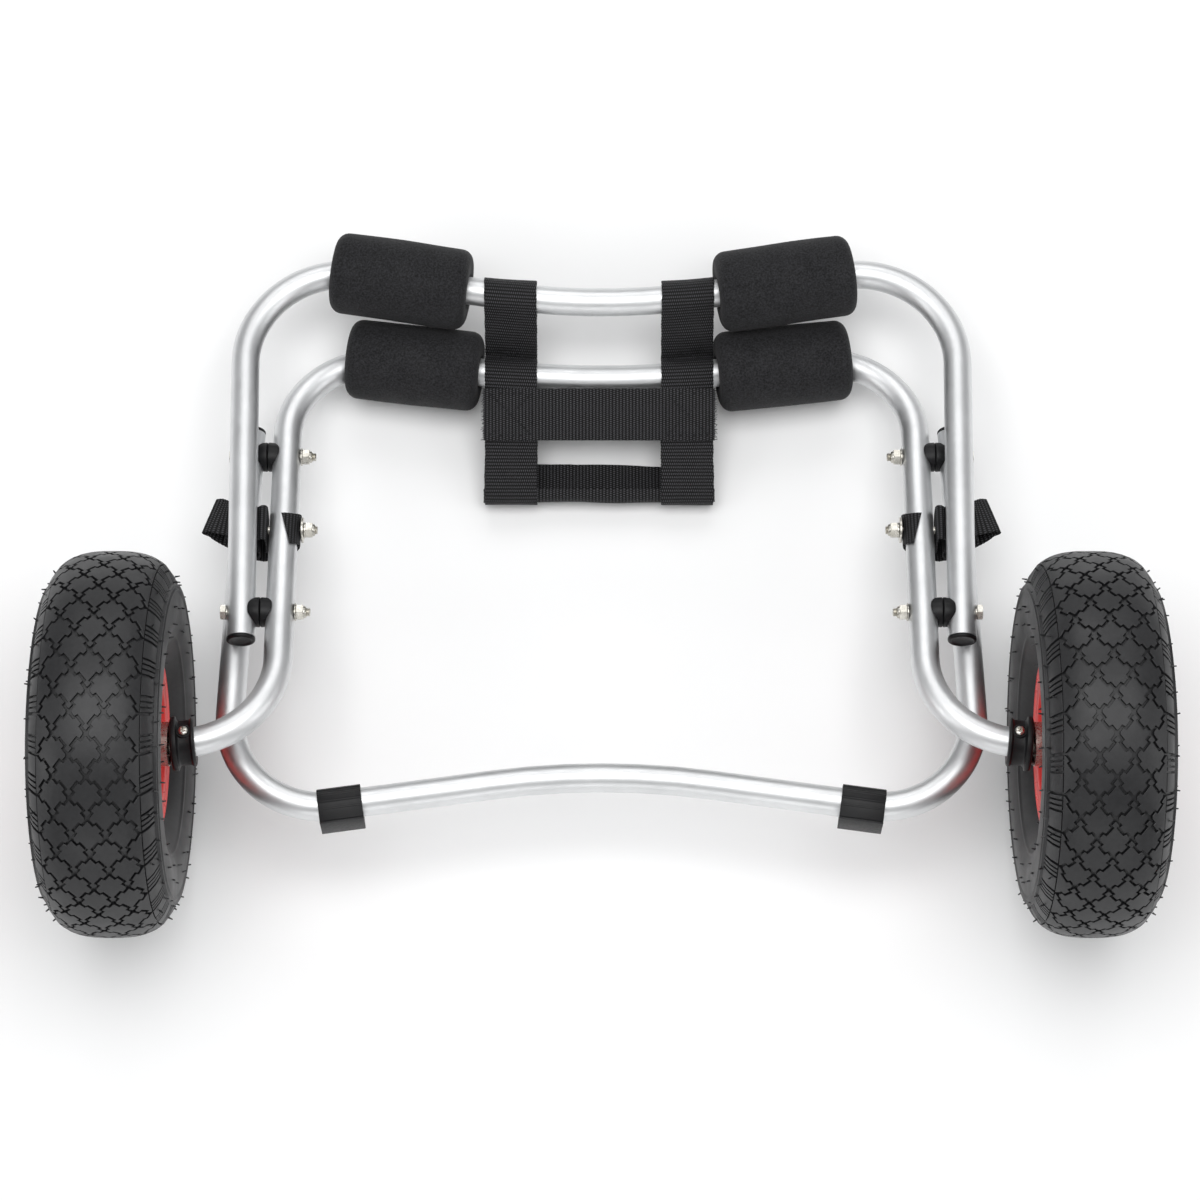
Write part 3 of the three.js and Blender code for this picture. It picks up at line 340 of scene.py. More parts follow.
def woven_webbing():
    """Polypropylene webbing, woven in a herringbone: ribs across it of slanted yarns, each hump with a
    painted highlight.

    The rows and yarns have their real size. Each row of slanted yarns leans the other way.
    """
    material, tree, coordinates = new_material("Woven polypropylene webbing")
    row_size, column_size = 2.4, 1.5
    scale = {"Scale": (1 / MM, 1 / MM, 1 / MM)}
    millimetres = add_node(tree, "ShaderNodeMapping", {}, scale, {"Vector": coordinates["UV"]})
    split = add_node(tree, "ShaderNodeSeparateXYZ", links={"Vector": millimetres.outputs["Vector"]})
    made = {"along": split.outputs["X"], "across": split.outputs["Y"]}
    for pattern, size, detail, roughness in (("wobble", 2.5, *plain), ("fibre", 0.35, *gritty)):
        values = {"Scale": 1 / (size * MM), "Detail": detail, "Roughness": roughness}
        clouds = add_node(tree, "ShaderNodeTexNoise", {}, values, {"Vector": coordinates["Object"]})
        made[pattern] = clouds.outputs["Fac"]
    steps = [
        ("drift", "MULTIPLY_ADD", "wobble", 0.22, -0.11),
        ("drifted", "ADD", "along", "drift"),
        ("row", "DIVIDE", "drifted", row_size),
        ("in row", "FRACT", "row"),
        ("row number", "FLOOR", "row"),
        ("half number", "MULTIPLY", "row number", 0.5),
        ("parity", "FRACT", "half number"),
        ("way", "MULTIPLY_ADD", "parity", 4, -1),
        ("off middle", "SUBTRACT", "in row", 0.5),
        ("slant", "MULTIPLY", "way", "off middle"),
        ("leaning", "MULTIPLY_ADD", "slant", 0.5, "across"),
        ("offset", "MULTIPLY_ADD", "parity", column_size, "leaning"),
        ("column", "DIVIDE", "offset", column_size),
        ("in column", "FRACT", "column"),
        ("row turn", "MULTIPLY", "in row", math.pi),
        ("row hump", "SINE", "row turn"),
        ("row rise", "POWER", "row hump", 0.8),
        ("yarn turn", "MULTIPLY", "in column", math.pi),
        ("yarn hump", "SINE", "yarn turn"),
        ("yarn rise", "POWER", "yarn hump", 0.8),
        ("hump", "MULTIPLY", "row rise", "yarn rise"),
        ("height", "MULTIPLY_ADD", "fibre", 0.18, "hump"),
    ]
    for result, operation, *terms in steps:
        values = {place: term for place, term in enumerate(terms) if not isinstance(term, str)}
        links = {place: made[term] for place, term in enumerate(terms) if isinstance(term, str)}
        step = add_node(tree, "ShaderNodeMath", {"operation": operation}, values, links)
        made[result] = step.outputs["Value"]
    # Painted highlight and shade: the colour follows the weave's height. Each yarn's hump is light grey as a
    # painted highlight, and the hollows between yarns are near black as painted shade.
    stops = ((0.56, "#010101"), (1.0, "#464649"))
    colour = add_node(tree, "ShaderNodeValToRGB", links={"Fac": made["height"]}, stops=stops)
    relief_values = {"Strength": 1.0, "Distance": 0.5 * MM}
    relief = add_node(tree, "ShaderNodeBump", {}, relief_values, {"Height": made["height"]})
    links = {"Base Color": colour.outputs["Color"], "Normal": relief.outputs["Normal"]}
    finish(tree, {"Roughness": 0.6, "Specular IOR Level": 0.25}, links)
    return material


# %% [markdown]
# The other finishes are clouds of two close colours with a little grain. What each one is, and what that
# gives the eye, is said beside it.

# %% Materials
materials = {
    # Drawn tube, blasted and clear anodised: a pale metal with a soft gleam. The blasted grain of about
    # 0.1 mm is too fine to show and is drawn at 1.2 mm.
    "aluminium": surface(
        "Satin anodised aluminium",
        {"cloud": (40, *plain), "gloss": (6, *plain), "grain": (1.2, *even)},
        ("cloud", 0.3, "#d6d7d8", 0.7, "#e2e3e4"),
        ("gloss", 0.4, 0.48),
        [("grain", 0.004, 0.5)],
        {"Metallic": 1.0},
    ),
    # Steel plated with zinc in a drum: a warm grey gleam in small blotches.
    "zinc": surface(
        "Zinc-plated steel",
        {"cloud": (5, *plain), "gloss": (1.5, *plain), "grain": (0.3, *plain)},
        ("cloud", 0.3, "#b4b1a8", 0.7, "#d2cfc8"),
        ("gloss", 0.22, 0.38),
        [("grain", 0.01, 1.0)],
        {"Metallic": 1.0},
    ),
    # Plastic moulded in a lightly eroded mould: near black with a dull, even sheen.
    "plastic": surface(
        "Moulded black plastic",
        {"cloud": (8, *plain), "gloss": (2, *plain), "grain": (0.25, *plain)},
        ("cloud", 0.3, "#08080a", 0.7, "#0f0f11"),
        ("gloss", 0.4, 0.5),
        [("grain", 0.02, 0.7)],
        {"Specular IOR Level": 0.3},
    ),
    # Foam cut from a roll: open cut cells take up the light, so it is deep black with a grey grain. The
    # cells of about 0.5 mm are drawn at 0.9 mm, with their grain at 1.3 mm, to show.
    "foam": surface(
        "Closed-cell foam",
        {"cells": (0.9,), "fine": (0.5, *gritty), "broad": (14, *plain), "grain": (1.3, 3, 0.65)},
        ("grain", 0.36, "#030304", 0.66, "#27272a"),
        ("broad", 0.78, 0.92),
        [("cells", 0.14, 0.6), ("fine", 0.1, 0.7), ("broad", 0.5, 0.5)],
        {"Specular IOR Level": 0.3, "Sheen Weight": 0.04, "Sheen Roughness": 0.6},
    ),
    # Carbon-filled rubber, cured in a mould: dark grey with a low sheen and a little dust.
    "rubber": surface(
        "Moulded tyre rubber",
        {"broad": (30, *plain), "dust": (3, *dusty), "grain": (0.4, *plain)},
        ("dust", 0.3, "#111113", 0.7, "#1d1d1f"),
        ("broad", 0.38, 0.52),
        [("grain", 0.03, 0.6)],
    ),
    # Thin butyl rubber, dusted with talc so that it doesn't stick: a flat, slightly paler grey.
    "tube": surface(
        "Butyl rubber",
        {"cloud": (4, *plain), "gloss": (2, *plain)},
        ("cloud", 0.3, "#161617", 0.7, "#232324"),
        ("gloss", 0.5, 0.65),
    ),
    # Powder paint baked on pressed steel: an even red under a clear gloss, with a faint orange peel.
    "red": surface(
        "Red powder paint on pressed steel",
        {"cloud": (18, *plain), "gloss": (4, *plain), "peel": (1.6, *even)},
        ("cloud", 0.3, "#cf2320", 0.7, "#e02f2a"),
        ("gloss", 0.26, 0.36),
        [("peel", 0.04, 0.5)],
        {"Coat Weight": 0.4, "Coat Roughness": 0.15},
    ),
    # Twisted polyester, dyed black: dull, with hardly any sheen.
    "thread": surface(
        "Polyester sewing thread",
        {"cloud": (1, *plain)},
        ("cloud", 0.3, "#101012", 0.7, "#1d1d20"),
        shader={"Roughness": 0.6, "Specular IOR Level": 0.3},
    ),
    # The moulded ring in a locknut: a milky, slightly yellow white.
    "nylon": surface(
        "Nylon locknut insert",
        {"cloud": (2, *plain)},
        ("cloud", 0.3, "#cfcab8", 0.7, "#dedac9"),
        shader={"Roughness": 0.5},
    ),
    "webbing": woven_webbing(),
}
dressed = []
print(len(materials), "materials")


def dress(piece, look, body=None, stands_for=()):
    """Gives a piece its material and slot, and says what it rides on and which nodes it replaces."""
    if not piece.data.materials:
        piece.data.materials.append(materials[look])
    if body:
        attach(piece, body)
    if stands_for:
        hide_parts(*stands_for)
    dressed.append(piece.name)
    print(piece.name, len(piece.data.polygons), "faces")
    return piece


# %% [markdown]
# Each frame is one length of 20 mm tube bent to a U on a bender. The real one is drawn tube with a 1.5 mm
# wall, clear anodised. Here each is swept along the same bent path as in the CAD, so the bends are round.

# %% Bent paths


def bent_path(corners, step=math.radians(3)):
    """Points along straights and round bends. A corner is (x, y, bend radius)."""
    points = [Vector(corners[0][:2])]
    for before, here, after in zip(corners, corners[1:], corners[2:]):
        corner = Vector(here[:2])
        into = (corner - Vector(before[:2])).normalized()
        out = (Vector(after[:2]) - corner).normalized()
        turn = into.angle(out)
        side = math.copysign(1, into.x * out.y - into.y * out.x)
        inward = Vector((-into.y, into.x)) * side
        start = corner - into * here[2] * math.tan(turn / 2)
        count = max(2, math.ceil(turn / step))
        for place in range(count + 1):
            angle = turn * place / count
            points.append(start + (into * math.sin(angle) + inward * (1 - math.cos(angle))) * here[2])
    points.append(Vector(corners[-1][:2]))
    return points


def mirrored(corners):
    """A half frame from the middle of its bar out becomes the whole."""
    other = [(-x, y, radius) for x, y, radius in reversed(corners[1:])]
    return other + corners


def spread_at(spread, lean, rise):
    return spread + rise * math.tan(math.radians(lean))


class Bar:
    """The bar of a U frame: a rounded middle between two slopes."""

    def __init__(self, reach, slope, bend):
        self.reach, self.slope, self.bend = reach, math.radians(slope), bend
        self.apex = reach - bend * (1 / math.cos(self.slope) - 1)

    def height(self, x):
        if abs(x) < self.bend * math.sin(self.slope):
            return self.reach + self.bend - math.sqrt(self.bend**2 - x**2)
        return self.apex + abs(x) * math.tan(self.slope)

    def corner(self, spread, lean):
        """Where the slope meets the line of the leg."""
        lean_run = math.tan(math.radians(lean))
        rise = math.tan(self.slope)
        x = (spread + lean_run * self.apex) / (1 - lean_run * rise)
        return x, self.apex + x * rise


tube_radius = tube_diameter / 2
tube_wall = 1.5 * MM
wheel_knee_spread = 220.5 * MM
wheel_lean = 0.8
wheel_bar_reach = 305.5 * MM
wheel_bar = Bar(wheel_bar_reach, 7.5, 575 * MM)
pad_diameter = 58.5 * MM
pad_nesting = 1.77 * MM
bar_distance = pad_diameter - pad_nesting
bar_rise = math.tan(fold_angle)
bar_run = wheel_bar_reach - lower_reach
lead_slope = bar_run * bar_rise**2
lead_scale = 1 + bar_rise**2
lead_short = bar_distance**2 - (bar_run * bar_rise) ** 2
bar_lead = (math.sqrt(lead_slope**2 + lead_scale * lead_short) - lead_slope) / lead_scale
cradle_bar = Bar((bar_run + bar_lead) / math.cos(fold_angle), 9, 450 * MM)
stand_bar_drop = 0.75 * MM
stand_bar = Bar((upper_reach + stand_bar_drop) / math.cos(fold_angle), 8, 540 * MM)

stub_slope_angle = 6
stub_slope = math.tan(math.radians(stub_slope_angle))
stub_end = wheel_knee_spread + 64 * MM
collar_grip = 11 * MM
collar_length = 15.4 * MM
collar_mouth = stub_end - collar_grip
stub_root = collar_mouth + collar_length


def wheel_leg(reach):
    return spread_at(wheel_knee_spread, wheel_lean, reach)


cradle_lean = 1.4
cradle_tail = 19 * MM
cradle_leg_gap = 6.7 * MM
cradle_spread = wheel_leg(lower_reach) + tube_diameter + cradle_leg_gap
stand_lean = 1.7
stand_tail = 18 * MM
stand_leg_gap = 6.2 * MM
stand_spread = wheel_leg(upper_reach) + tube_diameter + stand_leg_gap

wheel_corners = mirrored(
    [
        (0, wheel_bar.apex, wheel_bar.bend),
        (*wheel_bar.corner(wheel_knee_spread, wheel_lean), 65 * MM),
        (wheel_knee_spread, (stub_root - wheel_knee_spread) * stub_slope, 66 * MM),
        (stub_end, (stub_root - stub_end) * stub_slope, 0),
    ]
)
cradle_corners = mirrored(
    [
        (0, cradle_bar.apex, cradle_bar.bend),
        (*cradle_bar.corner(cradle_spread, cradle_lean), 70 * MM),
        (spread_at(cradle_spread, cradle_lean, -cradle_tail), -cradle_tail, 0),
    ]
)
stand_foot = stand_bar.corner(stand_spread, stand_lean)
stand_corners = mirrored(
    [
        (0, -stand_bar.apex, stand_bar.bend),
        (stand_foot[0], -stand_foot[1], 65 * MM),
        (spread_at(stand_spread, stand_lean, -stand_tail), stand_tail, 0),
    ]
)


def in_plane(plane, points):
    return [plane @ Vector((point.x, point.y, 0)) for point in points]


print("cradle leg at", round(cradle_spread / MM, 1), "stand leg at", round(stand_spread / MM, 1), "mm")

# %% [markdown]
# The tubes carry everything else. A real one is bent cold, and its wall stays even round the bends. A curve
# with a round bevel gives the same, and a Solidify modifier then makes the wall.

# %% Tubes
frames = {
    "wheel_frame": (wheel_plane, wheel_corners),
    "cradle_frame": (cradle_plane, cradle_corners),
    "stand_frame": (stand_plane, stand_corners),
}
for body, (plane, corners) in frames.items():
    tube = sweep(f"{body}_tube_round", in_plane(plane, bent_path(corners)), tube_radius, tube_wall, 10)
    dress(tube, "aluminium", body, [f"{body}_tube"])

# %% [markdown]
# The foam pads are slices of a round closed-cell roll, bored and pushed on the bar. The real ones have soft
# cut edges and a slight waist, so each is spun from an outline with round edges and a gentle swell.

# %% Foam pads
pad_radius = pad_diameter / 2
pad_edge = 8.5 * MM


def pad_piece(name, length, seed):
    bore = tube_radius + 0.3 * MM
    end = length / 2
    steps = 7
    half = [(end - 1.5 * MM, bore), (end, bore + 2.5 * MM)]
    for place in range(steps + 1):
        angle = math.pi / 2 * place / steps
        along = end - pad_edge * (1 - math.cos(angle))
        half.append((along, pad_radius - 0.4 * MM - pad_edge * (1 - math.sin(angle))))
    half += [(end * share, pad_radius - 0.4 * MM * share) for share in (0.6, 0.4, 0.2)]
    piece = lathe(name, half + [(0, pad_radius)] + mirrored_outline(half), 72)
    random = np.random.default_rng(seed)
    phase = random.uniform(0, math.tau, 6)
    for vertex in piece.data.vertices:
        along, radius = vertex.co.x, math.hypot(vertex.co.y, vertex.co.z)
        if radius < bore + 4 * MM:
            continue
        angle = math.atan2(vertex.co.z, vertex.co.y)
        swell = math.sin(2 * angle + phase[0]) + 0.6 * math.sin(3 * angle + along * 60 + phase[1])
        swell += 0.5 * math.sin(5 * angle - along * 90 + phase[2])
        scale = 1 + 0.25 * MM * swell / radius
        vertex.co.y *= scale
        vertex.co.z *= scale
    return smooth(piece, 60)


pad_places = [
    ("wheel_frame", wheel_plane, wheel_bar, 96 * MM, {"left": 85.5 * MM, "right": 89.5 * MM}),
    ("cradle_frame", cradle_plane, cradle_bar, 98 * MM, {"left": 76.8 * MM, "right": 88.9 * MM}),
]
for bar_place, (body, plane, bar, length, inset) in enumerate(pad_places):
    for side, sign in sides.items():
        x = sign * (wheel_knee_spread - inset[side])
        name = f"{body}_pad_{side}" if body == "wheel_frame" else f"cradle_pad_{side}"
        pad = pad_piece(f"{name}_foam", length, 10 * bar_place + sign + 1)
        turn = Matrix.Rotation(sign * bar.slope, 4, "Z")
        moved(pad, plane @ shifted(x, bar.height(x), 0) @ turn)
        dress(pad, "foam", body, [name])

# %% [markdown]
# The open tails of the tubes are closed by pushed-in moulded plugs with a round rim and a dished face. Two
# plastic saddles stand back to back between the legs at each pivot, hollowed to sit on the round tube.

# %% Plugs and saddles
seat_gap = 0.3 * MM


def plug_piece(name):
    outline = in_mm((-13, 0), (-13, 7.2), (-12, 8.1), (0, 8.1), (0, 10))
    outline += in_mm((1.7, 10), (2.5, 9.1), (2.5, 7.9), (1.5, 7), (1.2, 0))
    return smooth(soften(lathe(name, outline, 48), 0.25 * MM), 50)


for side, sign in sides.items():
    low = plug_piece(f"cradle_tube_plug_{side}_cap")
    tail = spread_at(cradle_spread, cradle_lean, -cradle_tail)
    lean = turned(-sign * cradle_lean, "Z")
    down = turned(-90, "Z")
    moved(low, cradle_plane @ shifted(sign * tail, -cradle_tail - seat_gap, 0) @ lean @ down)
    dress(low, "plastic", "cradle_frame", [f"cradle_tube_plug_{side}"])
    high = plug_piece(f"stand_tube_plug_{side}_cap")
    tail = spread_at(stand_spread, stand_lean, -stand_tail)
    lean = turned(sign * stand_lean, "Z")
    up = turned(90, "Z")
    moved(high, stand_plane @ shifted(sign * tail, stand_tail + seat_gap, 0) @ lean @ up)
    dress(high, "plastic", "stand_frame", [f"stand_tube_plug_{side}"])


def saddle_piece(name, sign, parting, leg, lean):
    """A barrel from the parting to the tube's middle, with the tube cut out of it."""
    out = math.copysign(1, leg - parting)
    flat = parting + out * seat_gap / 2
    far = parting + out * 8.5 * MM
    waist = (flat + out * 3.5 * MM, 10.2 * MM)
    outline = [(flat, 0), (flat, 10.5 * MM), waist, (far, 9.4 * MM), (far, 0)]
    saddle = soften(lathe(name, outline, 48), 0.9 * MM, 3, 50)
    if sign < 0:
        moved(saddle, turned(180, "Y"))
    cutter = rod(tube_radius + seat_gap, -20 * MM, 20 * MM, 48)
    turn = turned(-sign * lean, "Z") @ turned(90, "Z")
    moved(cutter, shifted(sign * leg, 0, 0) @ turn)
    return smooth(boolean(saddle, cutter), 40)


pivots = [
    ("lower_pivot", "cradle_frame", cradle_plane, lower_reach, cradle_spread, cradle_lean),
    ("upper_pivot", "stand_frame", stand_plane, upper_reach, stand_spread, -stand_lean),
]
for pivot, body, plane, reach, spread_out, lean in pivots:
    parting = (wheel_leg(reach) + spread_out) / 2
    for side, sign in sides.items():
        halves = {
            "inner": (wheel_leg(reach), wheel_lean, wheel_plane @ shifted(0, reach), "wheel_frame"),
            "outer": (spread_out, lean, plane, body),
        }
        for half, (leg, leg_lean, placed, rides) in halves.items():
            name = f"{pivot}_saddle_{half}_{side}"
            saddle = saddle_piece(f"{name}_block", sign, parting, leg, leg_lean)
            dress(moved(saddle, placed), "plastic", rides, [name])

# %% [markdown]
# The fasteners are plated steel: hex bolts with chamfered heads and cut threads, nylon-insert locknuts with
# a flange, and pan-head screws with a cross recess. Each kind is modelled once and copied to its places.

# %% Fasteners
bolt_radius = 3 * MM


def hex_prism(width, start, end, chamfer=0.9 * MM):
    """A six-sided bar along X whose end corners are turned off by a cone."""
    corner_radius = width / 2 / math.cos(math.pi / 6)
    prism = rod(corner_radius, start, end, 6)
    corner = corner_radius + 0.05 * MM
    flat = width / 2 - 0.25 * MM
    rise = chamfer * 0.6
    outline = [(start, 0), (start, flat), (start + rise, corner)]
    outline += [(end - rise, corner), (end, flat), (end, 0)]
    return boolean(prism, lathe("chamfer", outline, 48), "INTERSECT")


def threaded_end(start, end, radius=bolt_radius, pitch=1 * MM):
    """A turned thread from its start to its chamfered tip, along X."""
    count = round(abs(end - start) / pitch)
    step = (end - start) / count
    outline = [(start, 0)]
    for turn in range(count):
        near = start + step * turn
        outline += [(near, radius - 0.55 * MM), (near + step * 0.5, radius)]
    outline += [(end, radius - 0.7 * MM), (end, 0)]
    return lathe("thread", outline, 32)


def bolt_piece(name, head_face, tip, head):
    """A bolt along X, with its head's underside at one place and its thread's tip at another."""
    shank = rod(bolt_radius, tip + 12 * MM, head_face + 1 * MM)
    return smooth(joined(name, [head, shank, threaded_end(tip + 12 * MM, tip)]), 35)


def nut_piece(name, flange_radius):
    """A locknut along -X from the face it lies on, at the origin."""
    bore = bolt_radius + 0.05 * MM
    flange_outline = [(0, bore), (0, flange_radius), (-0.8 * MM, flange_radius)]
    flange_outline += [(-1.3 * MM, 5.2 * MM), (-1.3 * MM, bore)]
    flange = soften(lathe("flange", flange_outline, 48), 0.15 * MM)
    body = boolean(hex_prism(10 * MM, -6.1 * MM, -1 * MM), rod(bore, -10 * MM, 10 * MM))
    crown = lathe("crown", in_mm((-6, 3.05), (-6, 4.3), (-7.2, 4.1), (-7.7, 3.7), (-7.6, 3.05)), 48)
    insert = lathe("insert", in_mm((-6, 2.75), (-6, 3.5), (-7.75, 3.5), (-7.75, 2.75)), 48)
    for part in (flange, body, crown):
        part.data.materials.append(materials["zinc"])
    insert.data.materials.append(materials["nylon"])
    return smooth(joined(name, [flange, body, crown, insert]), 35)


def cross_recess(face, size, depth):
    """Two crossed tapered slots that cut a screw's head from its top, along X."""
    bars = []
    for turn in (45, 135):
        bar = block((face - depth, -size / 2, -size * 0.14), (face + 1 * MM, size / 2, size * 0.14))
        bars.append(moved(bar, turned(turn, "X")))
    return boolean(bars[0], bars[1], "UNION")


def dome_head(face, radius, height):
    """A round screw head on a face, along X, crowned and cross recessed."""
    outline = [(face, 0), (face, radius)]
    steps = 8
    for place in range(steps + 1):
        angle = math.pi / 2 * place / steps
        outline.append((face + height * (0.3 + 0.7 * math.sin(angle)), radius * math.cos(angle) ** 0.8))
    head = lathe("head", outline, 48)
    return boolean(head, cross_recess(face + height, radius * 1.15, height * 0.75))


def across_place(side, reach):
    """Fasteners are drawn on the right, from the cart's middle, and turned half round for the left."""
    turn = turned(180 if side == "left" else 0, "Y")
    return wheel_plane @ shifted(0, reach) @ turn


flange_nut = nut_piece("flange_nut", 6.25 * MM)
plain_nut = nut_piece("plain_nut", 5.4 * MM)
for pivot, body, plane, reach, spread_out, lean in pivots:
    head_face = spread_out + tube_radius + seat_gap
    nut_face = wheel_leg(reach) - tube_radius - seat_gap
    tip = nut_face - 10.7 * MM
    for side in sides:
        head = hex_prism(10 * MM, head_face, head_face + 4 * MM)
        bolt = bolt_piece(f"{pivot}_bolt_{side}_steel", head_face, tip, head)
        dress(moved(bolt, across_place(side, reach)), "zinc", "wheel_frame", [f"{pivot}_bolt_{side}"])
        place = across_place(side, reach) @ shifted(nut_face)
        nut = copied(flange_nut, f"{pivot}_nut_{side}_steel", place)
        dress(nut, "zinc", "wheel_frame", [f"{pivot}_nut_{side}"])

strap_bolt_share = 0.522
strap_reach = lower_reach + strap_bolt_share * (upper_reach - lower_reach)
web_thickness = 1.5 * MM
wrap_step = math.radians(18)
wrap_radius = (tube_radius + seat_gap) / math.cos(wrap_step) + web_thickness / 2
strap_face = wrap_radius + web_thickness / 2 + seat_gap
strap_leg = wheel_leg(strap_reach)
washer_face = strap_leg - strap_face
washer_back = washer_face - 1.5 * MM
washer_bore, washer_radius = 3.3 * MM, 9 * MM
washer_outline = [(washer_back, washer_bore), (washer_back, washer_radius)]
washer_outline += [(washer_face, washer_radius), (washer_face, washer_bore)]
strap_washer = smooth(soften(lathe("strap_washer", washer_outline, 56), 0.3 * MM))
for side in sides:
    head = dome_head(strap_leg + strap_face, 6 * MM, 2.4 * MM)
    nut_face = washer_back - seat_gap
    bolt = bolt_piece(f"check_strap_bolt_{side}_steel", strap_leg + strap_face, nut_face - 9.5 * MM, head)
    dress(moved(bolt, across_place(side, strap_reach)), "zinc", "wheel_frame", [f"check_strap_bolt_{side}"])
    washer = copied(strap_washer, f"check_strap_washer_{side}_steel", across_place(side, strap_reach))
    dress(washer, "zinc", "wheel_frame", [f"check_strap_washer_{side}"])
    place = across_place(side, strap_reach) @ shifted(nut_face)
    nut = copied(plain_nut, f"check_strap_nut_{side}_steel", place)
    dress(nut, "zinc", "wheel_frame", [f"check_strap_nut_{side}"])
for model in (flange_nut, plain_nut, strap_washer):
    removed(model)

# %% [markdown]
# The foot clips are short lengths of ribbed extrusion snapped over the foot bar, with a flat lip below that
# stands on the ground. One section is drawn with its ribs and lip, and pushed out along the bar.

# %% Foot clips
foot_spread = stand_spread - 72 * MM
foot_width = 30 * MM
foot_radius = tube_radius + 2.5 * MM
lip_low = -(tube_radius + 5.4 * MM)
lip_depth = 11 * MM


def clip_section():
    """The clip's outline across the bar: (height, depth) pairs round the ribbed sleeve and the lip."""
    ribs = 14
    sleeve = []
    count = 112
    for place in range(count + 1):
        angle = math.radians(-28) + math.radians(236) * place / count
        ridge = max(0, math.cos(angle * ribs)) ** 2
        radius = foot_radius - 0.45 * MM + 0.55 * MM * ridge
        sleeve.append((radius * math.sin(angle), radius * math.cos(angle)))
    step = 1.1 * MM
    steps = [(0, 0), (1, 0), (1.4, 0.6), (1.9, 0.1), (3, 0.4)]
    right = [(lip_low + rise * step, lip_depth - back * MM) for rise, back in steps]
    left = [(height, -depth) for height, depth in reversed(right)]
    return right + sleeve + left


def clip_piece(name):
    section = clip_section()
    bpy.ops.mesh.primitive_circle_add(vertices=len(section), radius=1, fill_type="NGON")
    piece = bpy.context.object
    piece.name = name
    for vertex, (height, depth) in zip(piece.data.vertices, section):
        vertex.co = (-foot_width / 2, height, depth)

    def push():
        bpy.ops.mesh.extrude_region_move(TRANSFORM_OT_translate={"value": (foot_width, 0, 0)})
        bpy.ops.mesh.select_all(action="SELECT")
        bpy.ops.mesh.normals_make_consistent(inside=False)

    in_edit_mode(piece, push)
    boolean(piece, rod(tube_radius + 0.25 * MM, -foot_width, foot_width, 64))
    return smooth(soften(piece, 0.3 * MM, 2, 60), 30)


for side, sign in sides.items():
    clip = clip_piece(f"foot_clip_{side}_rubber")
    turn = Matrix.Rotation(-sign * stand_bar.slope, 4, "Z")
    place = shifted(sign * foot_spread, -stand_bar.height(foot_spread), 0)
    moved(clip, stand_plane @ place @ turn)
    dress(clip, "plastic", "stand_frame", [f"foot_clip_{side}"])

# %% [markdown]
# A moulded collar joins each stub end to its axle. It is a stepped cup with a round mouth bead and a flange
# by the wheel, and one cross-head screw goes through it into the tube.

# %% Collars
collar_outline = in_mm((0, 10.3), (0, 15.3), (0.7, 16.5), (2.2, 16.5), (2.9, 15.4), (10.6, 15.2))
collar_outline += in_mm((11.6, 16.2), (12.2, 18.5), (15.4, 18.5), (16.4, 17.2), (16.4, 5.4))
collar_outline += in_mm((11.2, 5.4), (11.2, 10.3))
collar_end = collar_mouth + collar_length + 1 * MM
screw_along = collar_mouth + 6.8 * MM
screw_up = stub_slope * (collar_length - 6.8 * MM)


def collar_pieces(side):
    cup = soften(lathe(f"axle_collar_{side}_cup", collar_outline, 72), 0.35 * MM, 2, 30)
    tilt = turned(-stub_slope_angle, "Z")
    moved(cup, shifted(collar_mouth, stub_slope * collar_length, 0) @ tilt)

    def trim():
        cut_at = {"plane_co": (collar_end, 0, 0), "plane_no": (1, 0, 0)}
        bpy.ops.mesh.bisect(**cut_at, use_fill=True, clear_outer=True)

    in_edit_mode(cup, trim)
    boss = smooth(lathe("boss", in_mm((0, 0), (0, 5.4), (4, 5.1), (4.5, 4.6), (4.5, 0)), 40))
    front = turned(-90, "Y")
    moved(boss, shifted(screw_along, screw_up, 11.3 * MM) @ front)
    cup = smooth(boolean(cup, boss, "UNION"), 35)
    head = dome_head(0, 3.3 * MM, 1.8 * MM)
    screw = smooth(joined(f"collar_screw_{side}_steel", [head, rod(1.6 * MM, -7.5 * MM, 0.5 * MM, 24)]))
    moved(screw, shifted(screw_along, screw_up, 15.8 * MM) @ front)
    return cup, screw


for side, sign in sides.items():
    cup, screw = collar_pieces(side)
    mirror = Matrix.Diagonal((sign, 1, 1, 1))
    dress(moved(cup, wheel_plane @ mirror), "plastic", "wheel_frame", [f"axle_collar_{side}"])
    dress(moved(screw, wheel_plane @ mirror), "zinc", "wheel_frame", [f"collar_screw_{side}"])

# %% [markdown]
# The tyre is moulded rubber. Its tread is a quilt of notched diamonds on a plain carcass: one pitch is laid
# out flat, its blocks are raised and chamfered, it is repeated 29 times and then rolled round the crown.

# %% Tyre section
tyre_radius = 130 * MM
tyre_half_width = 42.5 * MM
widest_radius = 90 * MM
bead_radius = 51.3 * MM
bead_half_width = 26.5 * MM
neck_radius = 60.6 * MM
tread_pitches = 29
tread_edge = 50.5 * MM
groove_depth = 2.2 * MM


def tyre_half():
    """Points (across, radius) of the right half of the outside, from the crown's middle to the bead."""
    crown_power, crown_height = 2.8, tyre_radius - widest_radius
    points = []
    for place in range(61):
        angle = math.pi / 2 * place / 60
        across = tyre_half_width * math.sin(angle) ** (2 / crown_power)
        points.append((across, widest_radius + crown_height * math.cos(angle) ** (2 / crown_power)))
    fall = widest_radius - neck_radius
    for place in range(1, 25):
        share = place / 24
        across = bead_half_width + (tyre_half_width - bead_half_width) * (1 - share**2.3)
        points.append((across, widest_radius - fall * share))
    return np.array(points)


half_section = tyre_half()
half_steps = np.linalg.norm(np.diff(half_section, axis=0), axis=1)
half_lengths = np.concatenate([[0], np.cumsum(half_steps)])


